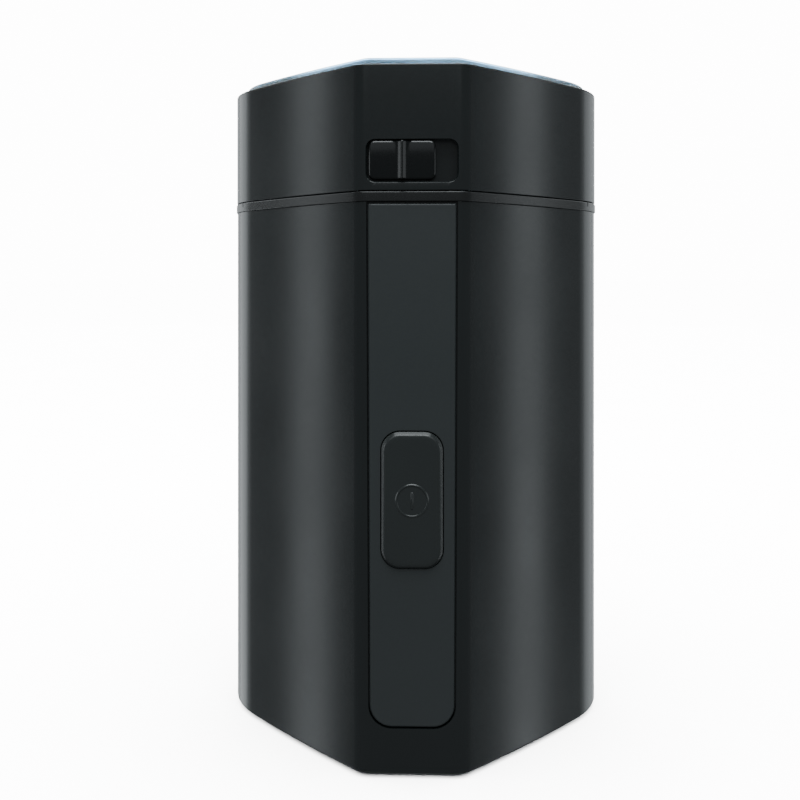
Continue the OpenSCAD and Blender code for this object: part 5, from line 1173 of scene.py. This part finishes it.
# ---- Floor, light and camera
# A pale matt table, soft light from the sides, from behind and from above, and the camera at a low front
# view. The edge boxes light only the button and the slider, and the sun lights only the table.
floor_finish = Finish("table_pale", Specular_IOR_Level=0.2)
floor_pattern = floor_finish.noise(9.0, 3.0)
floor_finish = floor_finish.feed(Base_Color=floor_finish.blend(floor_pattern, (0.86, 0.86, 0.86), (0.9, 0.9, 0.9)),
                                 Roughness=floor_finish.spread(floor_pattern, 0.7, 0.8))
table = made("table", [(-40000, -40000, 0), (40000, -40000, 0), (40000, 60000, 0), (-40000, 60000, 0)],
             [(0, 1, 2, 3)], floor_finish)
table.visible_glossy = table.visible_diffuse = table.visible_shadow = False

# Only what the camera sees, straight or through the clear window, is bright. Everything else reflects a
# dim room, and the softboxes in it.
world = bpy.data.worlds.new("studio")
bpy.context.scene.world = world
world.use_nodes = True
air = Graph(world.node_tree)
backdrop = world.node_tree.nodes["Background"]
seen = air.node("ShaderNodeLightPath")
world.node_tree.links.new(air.blend(seen, (0.93, 1.0, 1.03), (1, 1, 1)).socket, backdrop.inputs["Color"])
straight = seen.output("Is Transmission Ray") * (seen.output("Glossy Depth") + seen.output("Diffuse Depth") < 0.5)
through = (seen + straight).apply("MINIMUM", 1.0)
world.node_tree.links.new((0.24 + through * 14).socket, backdrop.inputs["Strength"])


def softbox(name, place, target, width, height, power, only=None, seen=False):
    light = bpy.data.lights.new(name, "AREA")
    light.shape = "RECTANGLE"
    light.size, light.size_y, light.energy = width, height, power
    light.color = (0.94, 1.0, 1.03)
    box = linked(name, light)
    box.location = place
    box.visible_camera = seen
    box.rotation_euler = (Vector(target) - Vector(place)).to_track_quat("-Z", "Y").to_euler()
    box.light_linking.receiver_collection = only


def pair(kind, place, target, width, height, powers, only=None, seen=False):
    """A softbox on the left and its mirror on the right."""
    for side, name, power in zip((-1, 1), ("left", "right"), powers):
        softbox(f"{name}_{kind}", (side * place[0], *place[1:]), target, width, height, power, only, seen)


def gathered(name, *pieces):
    """A collection that a light can be limited to."""
    group = bpy.data.collections.new(name)
    for piece in pieces:
        group.objects.link(piece)
    return group


MIDDLE = (0, 0, 0.1)
pair("box", (0.8, 0.025, 0.1), MIDDLE, 0.09, 1.6, (0.68, 0.68), seen=True)
pair("rim_box", (1.55, 1.25, 0.3), MIDDLE, 0.9, 3.2, (13, 7.5))
pair("fill_box", (1.74, 0.72, 0.3), MIDDLE, 0.3, 3.2, (1.2, 0.7))
softbox("back_wall", (0, 2.2, 0.3), (0, 0, 0.3), 3.2, 3.6, 28)
softbox("top_box", (0, -0.05, 1.1), (0, -0.05, 0.1), 0.9, 1.7, 16)
softbox("front_top_box", (0, -0.85, 0.75), (0, -0.05, 0.13), 1.3, 0.8, 2.4)
small_parts = gathered("small_parts", button, slider)
pair("edge_box", (0.76, -0.297, 0.12), (0, -0.05, 0.12), 0.28, 0.4, (0.85, 0.5), small_parts)
softbox("top_edge_box", (0, -0.585, 0.745), (0, -0.05, 0.15), 0.5, 0.22, 2.6, small_parts)

sun_data = bpy.data.lights.new("table_light", "SUN")
sun_data.energy = 51
sun_data.angle = math.radians(120)
linked("table_light", sun_data).light_linking.receiver_collection = gathered("table_only", table)

camera_data = bpy.data.cameras.new("camera")
camera_data.lens = 44.07
camera_data.sensor_width = 36
camera_data.shift_y = -0.1513
camera_data.clip_start = 0.01
camera = linked("camera", camera_data)
camera.location = (0.0043, -0.2794, 0.1181)
camera.rotation_euler = (math.radians(90), 0, math.radians(1.771))
bpy.context.scene.camera = camera
